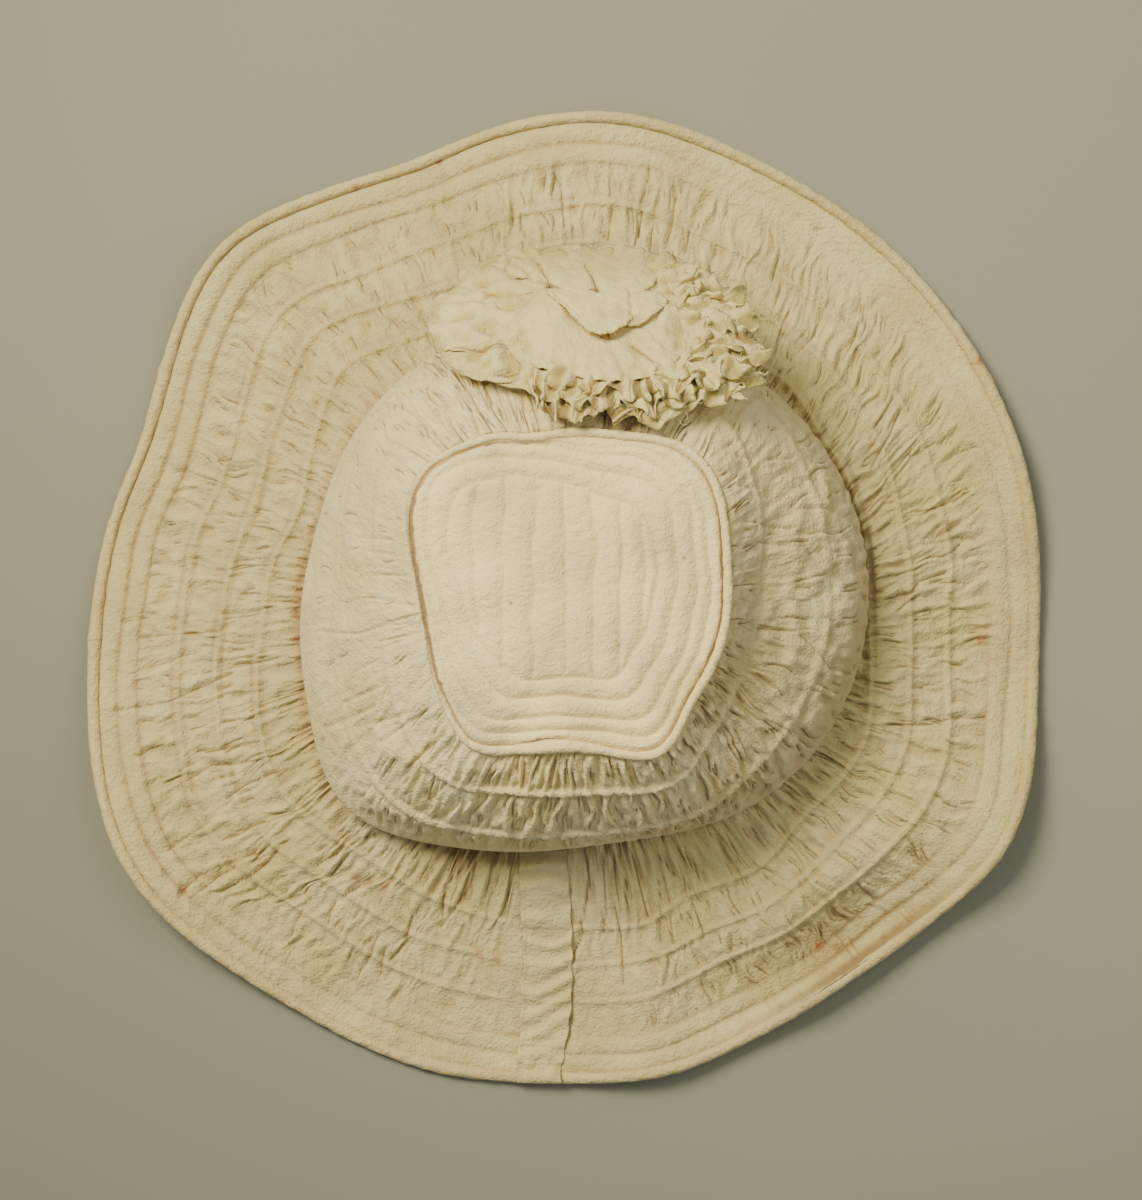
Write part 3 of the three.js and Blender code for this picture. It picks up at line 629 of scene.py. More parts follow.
def rim_faces(fine, coarse, outward=True):
    """Triangles between a row of columns and one of half as many, three for each coarse step."""
    after_coarse = np.roll(coarse, -1)
    left, middle, right = fine[0::2], fine[1::2], np.roll(fine[0::2], -1)
    corners = [(coarse, middle, left), (coarse, after_coarse, middle), (after_coarse, right, middle)]
    triangles = np.concatenate([np.stack(corner, axis=-1) for corner in corners])
    return triangles if outward else triangles[:, ::-1]


def wall_faces(rows, lining_rows, columns):
    """Faces of a ring of cloth: its upper grid, a lining with half as many columns, and both rims."""
    half, first = columns // 2, rows * columns
    return [
        ring_faces(rows, columns),
        ring_faces(lining_rows, half, first),
        rim_faces((rows - 1) * columns + np.arange(columns), first + np.arange(half)),
        rim_faces(np.arange(columns), first + (lining_rows - 1) * half + np.arange(half), outward=False),
    ]


def tube_faces(section, columns):
    """Quads of a tube that closes on itself, with a row for each point of its section."""
    r, c = np.mgrid[0:section, 0:columns]
    up, after = (r + 1) % section, (c + 1) % columns
    corners = [r * columns + c, r * columns + after, up * columns + after, up * columns + c]
    return np.stack(corners, axis=-1).reshape(-1, 4)


def grid_faces(across, along):
    """Quads of one open sheet of points, row by row."""
    j, i = np.mgrid[0 : along - 1, 0 : across - 1]
    corner = j * across + i
    return np.stack([corner, corner + 1, corner + across + 1, corner + across], axis=-1).reshape(-1, 4)


def panel_faces(across, along):
    """Quads of a closed panel: an upper and a lower grid of across by along points, joined at the rim."""
    count = across * along
    upper = grid_faces(across, along)
    rim = np.concatenate(
        [
            np.arange(across - 1),
            np.arange(along - 1) * across + across - 1,
            np.arange(count - 1, count - across, -1),
            np.arange(along - 1, 0, -1) * across,
        ]
    )
    after = np.roll(rim, -1)
    walls = np.stack([rim, rim + count, after + count, after], axis=-1)
    return np.concatenate([upper, upper[:, ::-1] + count, walls])


def foot_reach(azimuth):
    """Reach of the crown side's lowest fold."""
    return FOOT_REACH + folds(FOOT_FOLDS, "reach", azimuth)


def brim_reach(azimuth, share):
    """Reach of the brim's cloth: straight from the crown's foot at share 0 to the edge at share 1."""
    foot = foot_reach(azimuth)
    edge = BRIM_REACH + folds(EDGE_FOLDS, "reach", azimuth) - 2 * ROLL - GAP
    return foot + (edge - foot) * share


def brim_underside(azimuth, share):
    """Underside of the brim: a hollow fall to the floor, plus lifted waves, swells and turned-up parts."""
    out = np.maximum(share, 0)
    fall = BRIM_HEIGHT * np.maximum(1 - out, 0) ** BRIM_HOLLOW
    lift = folds(EDGE_FOLDS, "lift", azimuth) * out**LIFT_POWER
    curl = folds(EDGE_FOLDS, "curl", azimuth) * (np.maximum(out - CURL_START, 0) / (1 - CURL_START)) ** 2
    swell = folds(BRIM_SWELLS, "swell", azimuth) * bell(out - SWELL_SHARE, SWELL_SPREAD)
    return np.maximum(0, fall + lift + curl + swell - BRIM_SAG * out)


def cord_ridge(distance):
    """A cord's round crest, with a shallow groove stitched along each side of it."""
    groove = bell(np.abs(distance) - 1.9, 0.7)
    return CORD_RISE * bell(distance, CORD_WIDTH) - 0.35 * groove


def brim_grid():
    """Rows of the brim across its cords, from the crown's foot out, as distances in from the cloth's edge.

    Rows close up over each cord, and next to the edge they stand on crests and grooves. The second array is
    0 on all of these and rises to 1 towards the margin under the crown.
    """
    half = 2.2  # from a lone cord's middle to the last row over it
    edge_rows = [15.4, 14.8, 14.2, 13.0, 11.0, 9.0, 7.9, 7.3, 6.7, 5.5, 3.5, 1.6, 0.4, -0.4, -1.2]
    ends = [cord + half for cord in LONE_CORDS[1:]] + edge_rows[:1]
    crests = [np.linspace(cord + half, cord - half, 5) for cord in LONE_CORDS]
    between = [np.linspace(cord - half, end, 9)[1:-1] for cord, end in zip(LONE_CORDS, ends)]
    rows = np.sort(np.concatenate(crests + between + [edge_rows]))[::-1]
    margin = np.linspace(1, 0, 9)[:-1]
    inset = np.concatenate([np.full(len(margin), FOOT_INSET), rows])
    return inset, np.concatenate([margin, np.zeros(len(rows))])


def make_brim(material):
    """The brim: its upper cloth follows the underside at its thickness, plus cords, gathers and creases.

    Columns lean and sway with the gathers, so that creases run along them. The two cords next to the edge are
    full and lie side by side; the three others stand alone. Cloth is brown in its creases and grooves with
    dirt and painted shade, stained brown at the crown's foot on the left, and brown with painted shade at the
    foot behind and at the right and in the trough beside the turned-up edge; it is yellowed with painted
    shade in its hollows and on the slope before that edge.
    """
    column = np.arange(BRIM_COLUMNS) * 360 / BRIM_COLUMNS
    inset, margin = [rows[:, None] for rows in brim_grid()]

    # Places over the plan.
    lean = folds(BRIM_GATHER_FOLDS, "lean", column) * (LEAN_FROM - inset)
    sway = (lean + ripple(column, inset, waves=30, long=26, seed=31)) * blend(0, 14, inset)
    azimuth = column + np.degrees(sway / BRIM_MIDDLE)
    width = brim_reach(azimuth, 1) - brim_reach(azimuth, 0)
    draw = 1 - folds(EDGE_FOLDS, "draw", azimuth)
    wobble = 0.4 * crumple(azimuth * 1.6, inset * 0.6, pitch=26, seed=21) * blend(0, 6, inset) * (1 - margin)
    depth = (inset * draw + wobble) * (1 - margin) + margin * width * (1 + BRIM_MARGIN)
    share = 1 - depth / width
    reach = brim_reach(azimuth, share)
    plan = around_crown(azimuth, reach, 0)
    x, y = plan[..., 0], plan[..., 1]
    tanned = folds(FOOT_STAINS_AND_SHADES, "left", azimuth)
    shaded = folds(BRIM_SWELLS, "swell", azimuth) / SWELL

    # Gathers and creases, calmer over the cords, along the edge and beside the placket.
    amount = BRIM_GATHERS + folds(BRIM_GATHER_FOLDS, "more", azimuth)
    along = np.broadcast_to(inset + 20 * margin, reach.shape)
    around = np.broadcast_to(column, reach.shape)
    wave, away, strength = gathers(around, along, reach, waves=140, long=26, amount=amount, seed=12)
    fine, nearer, faint = gathers(around, along, reach, waves=250, long=17, amount=amount - 0.1, seed=16)
    sunk, long_line = sunk_creases(BRIM_CREASES, x, y)
    aside = np.abs(turn_from(azimuth, PLACKET_AZIMUTH))
    beside = blend(PLACKET_CLEAR - 6, PLACKET_CLEAR - 4.5, aside * reach / 150)
    near_placket = bell(aside - 2, 15)
    clear = beside * (1 - 0.75 * near_placket * blend(66, 50, along))
    on_cord = np.max([bell(inset - cord, 1.5) for cord in BRIM_CORDS], axis=0)
    crossed = EDGE_CROSSED + folds(FLAT_EDGES, "crossed", azimuth)
    calm = (1 - 0.6 * on_cord) * (crossed + (1 - crossed) * blend(13, 18, inset)) * blend(0, 2, inset)
    pressed = (0.25 + 0.75 * np.clip(amount, 0, 1)) * (1 + 0.7 * blend(40, 78, along)) * (1 - 0.3 * tanned)
    relief = pressed * (0.36 * wave + 0.16 * fine) + (0.26 + 0.14 * tanned) * crumple(x, y, pitch=8, seed=18)
    folded = relief - 1.2 * strength * np.exp(-away / 0.55) - 0.6 * faint * np.exp(-nearer / 0.5)

    # Height of the cloth.
    flat = 1 - folds(FLAT_EDGES, "flat", azimuth)
    lone = sum(cord_ridge(inset - cord) for cord in LONE_CORDS)
    full = np.max([np.clip(1 - ((inset - cord) / 3.7) ** 2, 0, 1) ** 0.6 for cord in EDGE_CORDS], axis=0)
    cords = lone + 1.4 * flat * full * (1 - 0.5 * shaded)
    cords = cords * (0.3 + 0.7 * beside) * (1 - 0.5 * near_placket)
    rumple = crumple(x, y, pitch=34, seed=15)
    under = brim_underside(azimuth, share)
    height = under + CLOTH + cords + 0.3 * rumple * blend(0, 6, inset)
    upper = around_crown(azimuth, reach, np.maximum(height + clear * calm * folded - sunk, under + 0.5))
    rows = len(inset)
    near_edge, inward = np.arange(rows - 1, rows - 16, -3), np.linspace(rows - 18, 0, 5)
    picked = np.concatenate([near_edge, inward.round().astype(int)])
    low_share, low_azimuth = share[picked][:, ::2], azimuth[picked][:, ::2]
    low_reach = brim_reach(low_azimuth, low_share)
    lower = around_crown(low_azimuth, low_reach, brim_underside(low_azimuth, low_share))

    # Brown and yellowed cloth: dirt and stains, and painted shade in creases, grooves, hollows, the trough
    # and at the foot.
    on_cloth = margin == 0
    # Grooves and the stitched seam beside each cord: brown with dirt and painted shade; so are the crease
    # lines.
    grooves = sum(bell(inset - groove, 0.9) for groove in BRIM_GROOVES) * on_cloth
    grooves = grooves * flat * (0.85 + 0.35 * tanned + 0.2 * crumple(x, y, pitch=45, seed=19))
    seams_dirt_and_shade = sum(bell(np.abs(inset - cord) - 1.8, 0.8) for cord in LONE_CORDS) * on_cloth
    seams_dirt_and_shade = seams_dirt_and_shade * (0.8 + 0.5 * tanned + 0.25 * crumple(x, y, pitch=30, seed=20))
    line = clear * calm * np.maximum(strength * bell(away, 0.42), 0.55 * faint * bell(nearer, 0.4))
    line = np.maximum(np.maximum(line, long_line), 0.52 * grooves + 0.4 * seams_dirt_and_shade)
    # Painted shade on the slope and in the trough inside the turned-up edge.
    slope = shaded * blend(27, 24, inset) * blend(-1, 2, inset)
    trough = 0.5 * shaded * bell(inset - 0.6, 2.2) + 0.46 * slope
    # Yellowed tone: mottled, plus painted shade in creases, on the slope, in the hollows of the relief and at
    # the left.
    age = 0.75 * grooves + 0.6 * seams_dirt_and_shade + 0.15 * (0.5 + 0.5 * rumple) + 0.15 * strength + 0.12 * slope
    age = age + 0.6 * calm * np.clip(-relief, 0, 1) + folds(BRIM_PAINTED_SHADING, "more", azimuth)
    # Foot: a brown stain at the left, and painted shade under the crown's turned edge behind and at the
    # right.
    stitched_foot = blend(0.075, 0.04, share) * tanned
    streaks = 0.75 + 0.25 * ripple(column, along, waves=120, long=60, seed=17)
    shaded_foot = blend(0.14, 0.04, share) * folds(FOOT_STAINS_AND_SHADES, "back", azimuth) * streaks
    stained_and_shaded_foot = 0.5 * stitched_foot + shaded_foot
    none = np.zeros(low_share.size)
    piece = put_mesh(
        "brim_cloth",
        np.concatenate([upper.reshape(-1, 3), lower.reshape(-1, 3)]),
        wall_faces(rows, len(picked), BRIM_COLUMNS),
        material,
        crease=np.concatenate([np.clip(line + trough + stained_and_shaded_foot, 0, 1).ravel(), none]),
        age=np.concatenate([np.clip(age, 0, 1).ravel(), none + 0.3]),
        stain=np.concatenate([np.maximum(spots(x, y), 0.3 * stitched_foot).ravel(), none]),
    )
    return piece


def make_edge_roll(material):
    """The rolled edge: a round section along the brim's edge, uneven in thickness and finely wrinkled.

    It is flat where it lies on the floor, and thicker for a short way where its strip is joined.
    """
    azimuth = np.arange(ROLL_COLUMNS) * 360 / ROLL_COLUMNS
    angle = np.arange(ROLL_SECTION)[:, None] * 360 / ROLL_SECTION
    uneven = 0.12 * crumple(azimuth, np.zeros(ROLL_COLUMNS), pitch=9, seed=31)
    uneven = uneven + 0.1 * crumple(azimuth, angle * 0.05, pitch=2.2, seed=32)
    join = turn_from(azimuth, EDGE_JOIN)
    radius = ROLL + 0.1 + uneven + 0.45 * bell(join, 0.8)
    a = np.radians(angle)
    reach = brim_reach(azimuth, 1) + GAP + ROLL + radius * np.cos(a)
    height = brim_underside(azimuth, 1) + ROLL + radius * np.sin(a)
    points = around_crown(np.broadcast_to(azimuth, reach.shape), reach, np.maximum(height, 0))
    # Painted shade on the roll's inner side where it meets the brim, more in the trough at the back right.
    inner = bell(angle - 180, 35) * (0.2 + 0.1 * folds(BRIM_SWELLS, "swell", azimuth))
    return put_mesh(
        "brim_edge_binding",
        points,
        [tube_faces(ROLL_SECTION, ROLL_COLUMNS)],
        material,
        crease=np.clip(0.8 * bell(join, 0.25) + inner, 0, 1).ravel(),
        age=np.clip(0.2 + 0.2 * crumple(azimuth, angle * 0.02, pitch=14, seed=33), 0, 1).ravel(),
        stain=spots(points[..., 0], points[..., 1]).ravel(),
    )


def placket_base(x, y):
    """Height of what lies under the placket at a place: the brim's cloth and cords, then the rolled edge."""
    azimuth = np.degrees(np.arctan2(y, x)) % 360
    reach = np.hypot(x, y)
    foot, edge = brim_reach(azimuth, 0), brim_reach(azimuth, 1)
    share = np.minimum((reach - foot) / (edge - foot), 1)
    depth = (1 - share) * (edge - foot) / (1 - folds(EDGE_FOLDS, "draw", azimuth))
    cords = sum(cord_ridge(depth - cord) for cord in BRIM_CORDS)
    cloth = brim_underside(azimuth, share) + CLOTH + 0.22 * np.maximum(cords, 0)
    over, around = reach - edge - GAP - ROLL, ROLL + 0.4
    roll = brim_underside(azimuth, 1) + ROLL + np.sqrt(np.maximum(around**2 - over**2, 0.01))
    return np.where(np.abs(over) < around, np.maximum(cloth * (over < 0), roll), cloth)


def make_placket(material):
    """The placket: a flat strip on the brim, puckered along its stitches, its right edge open and wavy.

    Its end is turned over the brim's rolled edge.
    """
    side, run = np.meshgrid(np.linspace(-1, 1, PLACKET_ACROSS), np.linspace(0, 1, PLACKET_ALONG))
    y = -(PLACKET_FROM + (PLACKET_END - PLACKET_FROM) * run)
    right = 2.2 * np.sin(np.pi * np.minimum(run / 0.95, 1)) - 1 - 2 * blend(0.65, 1, run)
    right = right + 0.25 * np.sin(run * 57 + 1)
    left = 1.3 + 1.6 * bell(run - 0.45, 0.25) - 0.8 * blend(0.75, 1, run) + 0.35 * np.sin(run * 41)
    x = PLACKET_X + side * PLACKET_HALF + right * blend(-0.2, 1, side) + left * blend(0.2, -1, side)
    stitch_row = bell(side + 0.8, 0.06)
    pucker = 0.2 * crumple(x * 0.4, y, pitch=6, seed=41) + 0.3 * crumple(x, y, pitch=17, seed=42)
    pucker = pucker + 0.5 * crumple(x, y, pitch=6, seed=44) * blend(0.86, 0.95, run)
    lip = 0.2 * blend(0.75, 1, side) * (0.5 + 0.5 * np.sin(run * 23 + 0.6))
    base = placket_base(x, y) + GAP - 0.3 * blend(-0.5, -1, side)
    swing = 1.6 * crumple(x, y, pitch=34, seed=43)
    folds_across = 0.65 * np.sin(0.75 * y - 0.13 * x + swing) * blend(0.95, 0.75, run)
    top = base + 0.95 + (0.8 * pucker + folds_across) * blend(1, 0.95, run) - 0.35 * stitch_row + lip
    lower = base + 0.1 + 0.6 * lip
    x, y = x + CROWN_X, y + CROWN_Y
    layers = [np.stack([x, y, z], axis=-1).reshape(-1, 3) for z in (np.maximum(top, lower + 0.15), lower)]
    edge = np.maximum(0.85 * bell(side - 1, 0.04), 0.3 * bell(side + 1, 0.04))
    # Painted shade at the placket's inner end, under the crown's turned edge.
    shade = 0.75 * blend(0.12, 0.02, run)
    stitches = 0.5 * stitch_row * (np.sin(run * 2 * np.pi * 34) > 0.2)
    # Yellowed tone, with painted shade in the hollows of the puckers and folds.
    age = 0.1 + 0.4 * blend(0.85, 1, run) + 0.5 * np.clip(-pucker - folds_across, 0, 1)
    piece = put_mesh(
        "back_placket_strip",
        np.concatenate(layers),
        [panel_faces(PLACKET_ACROSS, PLACKET_ALONG)[:, ::-1]],
        material,
        crease=np.concatenate([np.maximum(np.maximum(edge, stitches), shade).ravel(), edge.ravel()]),
        age=np.tile(age.ravel(), 2),
        stain=np.tile(spots(x, y).ravel(), 2),
    )
    return piece


def tip_reach(azimuth):
    """Reach of the seam round the tip."""
    return TIP_REACH + folds(TIP_FOLDS, "reach", azimuth)


def tip_height(azimuth):
    """Height of the seam round the tip."""
    return TIP_HEIGHT + folds(TIP_FOLDS, "rise", azimuth)


def piping_radius(azimuth):
    """Radius of the piping: full at the front and right, fuller at the back, thin and sunk at the left."""
    return PIPING - 0.2 + folds(PIPING_FOLDS, "radius", azimuth)


def side_profile(azimuth, share):
    """Reach and height of the crown side: a line from the piping to the lowest fold, swelled out by sines.

    Past the fold it turns under to the seam on the brim.
    """
    away, hidden = piping_radius(azimuth) + 1.2 * GAP, folds(PIPING_FOLDS, "hidden", azimuth)
    reach = tip_reach(azimuth) + away * (0.75 - 0.3 * hidden)
    height = tip_height(azimuth) - away * (0.75 - 0.6 * hidden)
    run, drop = foot_reach(azimuth) - reach, BRIM_HEIGHT + CLOTH + GAP + FOOT_RISE - height
    length = np.hypot(run, drop)
    v = np.minimum(share / SIDE_FOLD, 1)
    swell = (SIDE_FULLNESS + folds(SIDE_FOLDS, "fullness", azimuth)) * np.sin(np.pi * v)
    swell = swell - folds(SIDE_FOLDS, "sway", azimuth) * np.sin(2 * np.pi * v)
    under = np.maximum(0, (share - SIDE_FOLD) / (1 - SIDE_FOLD))
    reach = reach + run * v - drop / length * swell - FOOT_TUCK * under**2
    height = height + drop * v + run / length * swell - FOOT_RISE * under
    return reach, height


def side_wall(azimuth, share, offset):
    """Points at an offset square to the crown side's profile, kept above the brim."""
    before = side_profile(azimuth, np.maximum(share - 0.01, 0))
    after = side_profile(azimuth, np.minimum(share + 0.01, 1))
    run, drop = after[0] - before[0], after[1] - before[1]
    length = np.hypot(run, drop)
    reach, height = side_profile(azimuth, share)
    height = np.maximum(height + run / length * offset, BRIM_HEIGHT + CLOTH + GAP)
    return around_crown(azimuth, reach - drop / length * offset, height)


def side_dents(azimuth, reach, down):
    """Single folds of the crown side: each a long bell turned by its slant."""
    total = np.zeros(reach.shape)
    for dent in SIDE_DENTS:
        turn = np.radians(turn_from(azimuth, dent["azimuth"])) * reach
        fall = down - dent["share"] * SIDE_SLOPE
        s = np.radians(dent["slant"])
        run, cross = turn * np.cos(s) + fall * np.sin(s), fall * np.cos(s) - turn * np.sin(s)
        total += dent["rise"] * bell(run, dent["long"]) * bell(cross, dent["wide"])
    return total


def make_crown_side(material):
    """The crown side: cords, gathers, folds and creases raised square to its profile; a coarser lining.

    Its turned edge is uneven and its cloth crumpled at the right. Cloth is brown in its creases with dirt and
    painted shade, and brown with painted shade at its foot, in the dips of its turned edge and under the
    rosette;
    it is yellowed with painted shade at the right, towards its foot and in its hollows, and less yellowed at
    the back.
    """
    column = np.arange(SIDE_COLUMNS) * 360 / SIDE_COLUMNS
    under = SIDE_FOLD + (1 - SIDE_FOLD) * np.linspace(0.12, 1, 8)
    rows = np.concatenate([np.linspace(0, SIDE_FOLD, 56), under])
    share = rows[:, None]
    lean = folds(SIDE_GATHER_FOLDS, "lean", column) * (share - 0.3) * SIDE_SLOPE
    sway = 0.5 * ripple(column, share * SIDE_SLOPE, waves=24, long=30, seed=51)
    azimuth = column + np.degrees((lean + sway) / 80)
    reach, _ = side_profile(azimuth, share)
    around, share = np.broadcast_to(column, reach.shape), np.broadcast_to(share, reach.shape)
    down = share * SIDE_SLOPE
    turned_mm = np.radians(azimuth) * SIDE_MIDDLE

    # Gathers, cords, folds and creases, as an offset out of the profile.
    amount = SIDE_GATHERS + folds(SIDE_GATHER_FOLDS, "more", azimuth)
    wave, away, strength = gathers(around, down, reach, waves=100, long=36, amount=amount, seed=52)
    fine, nearer, faint = gathers(around, down, reach, waves=180, long=22, amount=amount - 0.15, seed=56)
    pressed = 0.08 + 0.8 * blend(0.35, 1.4, amount)
    folded = pressed * (0.88 * wave + 0.16 * fine) - (0.5 + 1.3 * pressed) * strength * np.exp(-away / 0.6)
    folded = folded - (0.2 + 0.4 * pressed) * faint * np.exp(-nearer / 0.5)
    on_cord = np.max([bell((share - cord) * SIDE_SLOPE, 1.9) for cord in SIDE_CORDS], axis=0)
    full = 1 + folds(SIDE_CORDS_FULL, "more", azimuth)
    cords = sum(cord_ridge((share - cord) * SIDE_SLOPE / 1.25) for cord in SIDE_CORDS)
    cords = cords * full * blend(1.0, 0.85, share)
    calm = (1 - 0.85 * on_cord) * blend(0.87, 0.79, share)
    soft = 0.3 * crumple(turned_mm, down * 0.7, pitch=19, seed=54)
    crumpled = folds(SIDE_CRUMPLED, "more", azimuth)
    cells = crumpled * crumple(turned_mm, down, pitch=7, seed=59) * (1 - on_cord) * blend(0.9, 0.8, share)
    turned = bell(share - 0.84, 0.07) * folds(SIDE_TURNED, "more", azimuth)
    uneven = ripple(column, down, waves=80, long=16, seed=58) * turned
    offset = CLOTH / 2 + cords + (folded + soft + 0.4 * cells) * calm + 0.5 * uneven
    offset = offset + side_dents(azimuth, reach, down)
    marks = [
        dict(row, points=[(CREASE_TURN * turn, SIDE_SLOPE * place) for turn, place in row["points"]])
        for row in SIDE_CREASES
    ]
    sunk, long_line = sunk_creases(marks, CREASE_TURN * ((azimuth + 90) % 360 - 90), down)
    offset = np.clip(offset - sunk, -0.6, 3.2 - 1.9 * blend(0.55, 0.78, share)) * blend(-0.02, 0.04, share)
    upper = side_wall(azimuth, share, offset)
    picked = np.linspace(len(rows) - 1, 0, SIDE_LINING_ROWS).round().astype(int)
    low = share[picked][:, ::2]
    lower = side_wall(azimuth[picked][:, ::2], low, np.full(low.shape, -CLOTH / 2))

    # Brown and yellowed cloth: dirt and ageing, and painted shade in hollows, under edges and at the right.
    line = calm * np.maximum(strength * bell(away, 0.4), 0.6 * faint * bell(nearer, 0.38))
    line = line * (1 - folds(SIDE_FAINT, "more", azimuth))
    # Painted shade in the dips of the turned edge.
    line = np.maximum(np.maximum(line, long_line), 0.6 * np.clip(-uneven - 0.3, 0, 1))
    # Painted shade under the turned edge at the foot, and painted shadow under the rosette's lower edge.
    foot = 0.75 * blend(0.9, 0.95, share) * (0.8 + 0.2 * ripple(column, down, waves=40, long=20, seed=57))
    foot = foot + 0.75 * folds(SIDE_SHADE, "more", azimuth) * blend(0.17, 0.06, share)
    # Yellowed tone: on the cords, and painted shade towards the foot, in the crumples and hollows and at the
    # right.
    age = 0.3 * on_cord * full + 0.3 * blend(0.6, 1, share) + 0.12 * soft + 0.12 * strength
    age = np.clip(age + folds(SIDE_PAINTED_SHADING, "more", azimuth), 0, 1)
    age = np.clip(age + 0.35 * np.clip(-cells, 0, 1) + 0.3 * crumpled * blend(0.5, 0.8, share), 0, 1)
    none = np.zeros(low.size)
    piece = put_mesh(
        "crown_side_cloth",
        np.concatenate([upper.reshape(-1, 3), lower.reshape(-1, 3)]),
        wall_faces(len(rows), SIDE_LINING_ROWS, SIDE_COLUMNS),
        material,
        crease=np.concatenate([np.clip(line + foot, 0, 1).ravel(), none]),
        age=np.concatenate([age.ravel(), none + 0.3]),
        stain=np.concatenate([spots(upper[..., 0], upper[..., 1]).ravel(), none]),
    )
    return piece


def make_tip(material):
    """The tip: a square grid drawn out to the seam's outline, domed, with sunk lines between soft channels.

    A place's level is 0 in the middle and 1 at the seam. Lines run straight from front to back inside the
    first ring, and round the seam's own shape outside it.
    """
    a, b = np.meshgrid(np.linspace(-1, 1, TIP_POINTS), np.linspace(-1, 1, TIP_POINTS))
    level = np.maximum(np.abs(a), np.abs(b))
    azimuth = np.degrees(np.arctan2(b, a)) % 360
    full = tip_reach(azimuth) - piping_radius(azimuth) + 0.2
    dome = TIP_HEIGHT + TIP_DOME + (tip_height(azimuth) - TIP_HEIGHT - TIP_DOME) * level**2
    plan = around_crown(azimuth, level * full, dome)
    x, y = plan[..., 0] - CROWN_X, plan[..., 1] - CROWN_Y
    drift = 0.6 * crumple(x, y, pitch=30, seed=61)
    left = folds(TIP_LEFT, "more", azimuth)
    levels = [ring["level"] + ring["left"] * left for ring in TIP_RINGS]
    rings = np.min([np.abs((level - ring) * full + drift) for ring in levels], axis=0)
    lines = np.min([np.abs(x - line + drift) for line in TIP_LINES], axis=0)
    outside = 1 - blend(0.01, -0.01, level - levels[0])
    away = np.minimum(rings, lines + 50 * outside)
    deeper = 1 + 1.1 * folds(TIP_DEEP, "more", azimuth) * blend(0.45, 0.6, level)
    channel = QUILT * (1 - bell(away, 2.4)) - 0.42 * deeper * bell(away, 0.8)
    soft = 0.25 * crumple(x, y, pitch=24, seed=62) + 0.05 * crumple(x, 1.8 * y, pitch=5, seed=63)
    seam = blend(1.0, 0.96, level)
    upper = dome + CLOTH / 2 + (channel + soft) * seam - 0.5 * (1 - seam)
    lower = dome - CLOTH / 2
    layers = [np.stack([plan[..., 0], plan[..., 1], z], axis=-1).reshape(-1, 3) for z in (upper, lower)]
    # Quilting lines: brown of the stitches, with painted shade in the sunk lines.
    stitched = (0.42 + 0.12 * deeper) * bell(away, 0.7)
    ragged = 0.002 * crumple(x, y, pitch=5, seed=65)
    dark = np.maximum(0.35 + 0.65 * np.cos(np.radians(azimuth)) ** 2, folds(TIP_SEAM_DARK, "more", azimuth))
    seam_line = blend(0.976, 0.986, level + ragged) * dark
    piece = put_mesh(
        "quilted_tip",
        np.concatenate(layers),
        [panel_faces(TIP_POINTS, TIP_POINTS)],
        material,
        crease=np.tile(np.clip(stitched + seam_line, 0, 1).ravel(), 2),
        age=np.tile(np.clip(0.15 + 0.15 * crumple(x, y, pitch=40, seed=64), 0, 1).ravel(), 2),
        stain=np.tile(np.maximum(spots(plan[..., 0], plan[..., 1]), 0.3 * seam_line).ravel(), 2),
    )
    return piece


def make_piping(material):
    """The piping: a round section along the tip's seam, fuller at the back, with fine slanted wrinkles."""
    azimuth = np.arange(PIPING_COLUMNS) * 360 / PIPING_COLUMNS
    angle = np.arange(PIPING_SECTION)[:, None] * 360 / PIPING_SECTION
    a = np.radians(angle)
    hidden = folds(PIPING_FOLDS, "hidden", azimuth)
    wrinkles = 0.06 * np.sin(np.radians(azimuth * 150 + angle * 2))
    wrinkles = wrinkles + 0.08 * crumple(azimuth, angle * 0.05, pitch=6, seed=71)
    radius = piping_radius(azimuth) + wrinkles
    reach = tip_reach(azimuth) + radius * np.cos(a)
    height = tip_height(azimuth) - 0.8 * hidden + radius * np.sin(a)
    # Painted shade in the crevices on both sides of the piping, and where the side's cloth hides it at the
    # left.
    seam = np.maximum(0.7 * bell(angle - 180, 40) + 0.4 * bell(turn_from(angle, 0), 40), 0.95 * hidden)
    return put_mesh(
        "tip_piping_cord",
        around_crown(np.broadcast_to(azimuth, reach.shape), reach, height),
        [tube_faces(PIPING_SECTION, PIPING_COLUMNS)],
        material,
        crease=seam.ravel(),
        age=0.25,
    )


def drape_height(x, y):
    """Height of the surface the rosette lies on: it falls ever more steeply forwards, and droops aside."""
    along = np.maximum(0, (y - DRAPE_FROM) / DRAPE_RUN)
    return DRAPE_TOP - DRAPE_FALL * along**DRAPE_BEND - DRAPE_SIDE * (x - HEART_X) ** 2


def over_drape(x, y, height):
    """Points over the drape at a height measured square to it."""
    step = 0.5
    slope_x = (drape_height(x + step, y) - drape_height(x - step, y)) / (2 * step)
    slope_y = (drape_height(x, y + step) - drape_height(x, y - step)) / (2 * step)
    out = height / np.sqrt(1 + slope_x**2 + slope_y**2)
    return np.stack([x - slope_x * out, y - slope_y * out, drape_height(x, y) + out], axis=-1)


def curve(points, t, closed):
    """A smooth curve through points: cubic pieces whose ends head along the line between the neighbours."""
    points = np.array(points, dtype=float)
    spans = len(points) if closed else len(points) - 1
    first = np.clip(np.floor(t * spans).astype(int), 0, spans - 1)
    f = (t * spans - first)[..., None]
    around = [first + step for step in (-1, 0, 1, 2)]
    a, b, c, d = [points[i % len(points) if closed else np.clip(i, 0, len(points) - 1)] for i in around]
    return b + 0.5 * f * (c - a + f * (2 * a - 5 * b + 4 * c - d + f * (3 * (b - c) + d - a)))


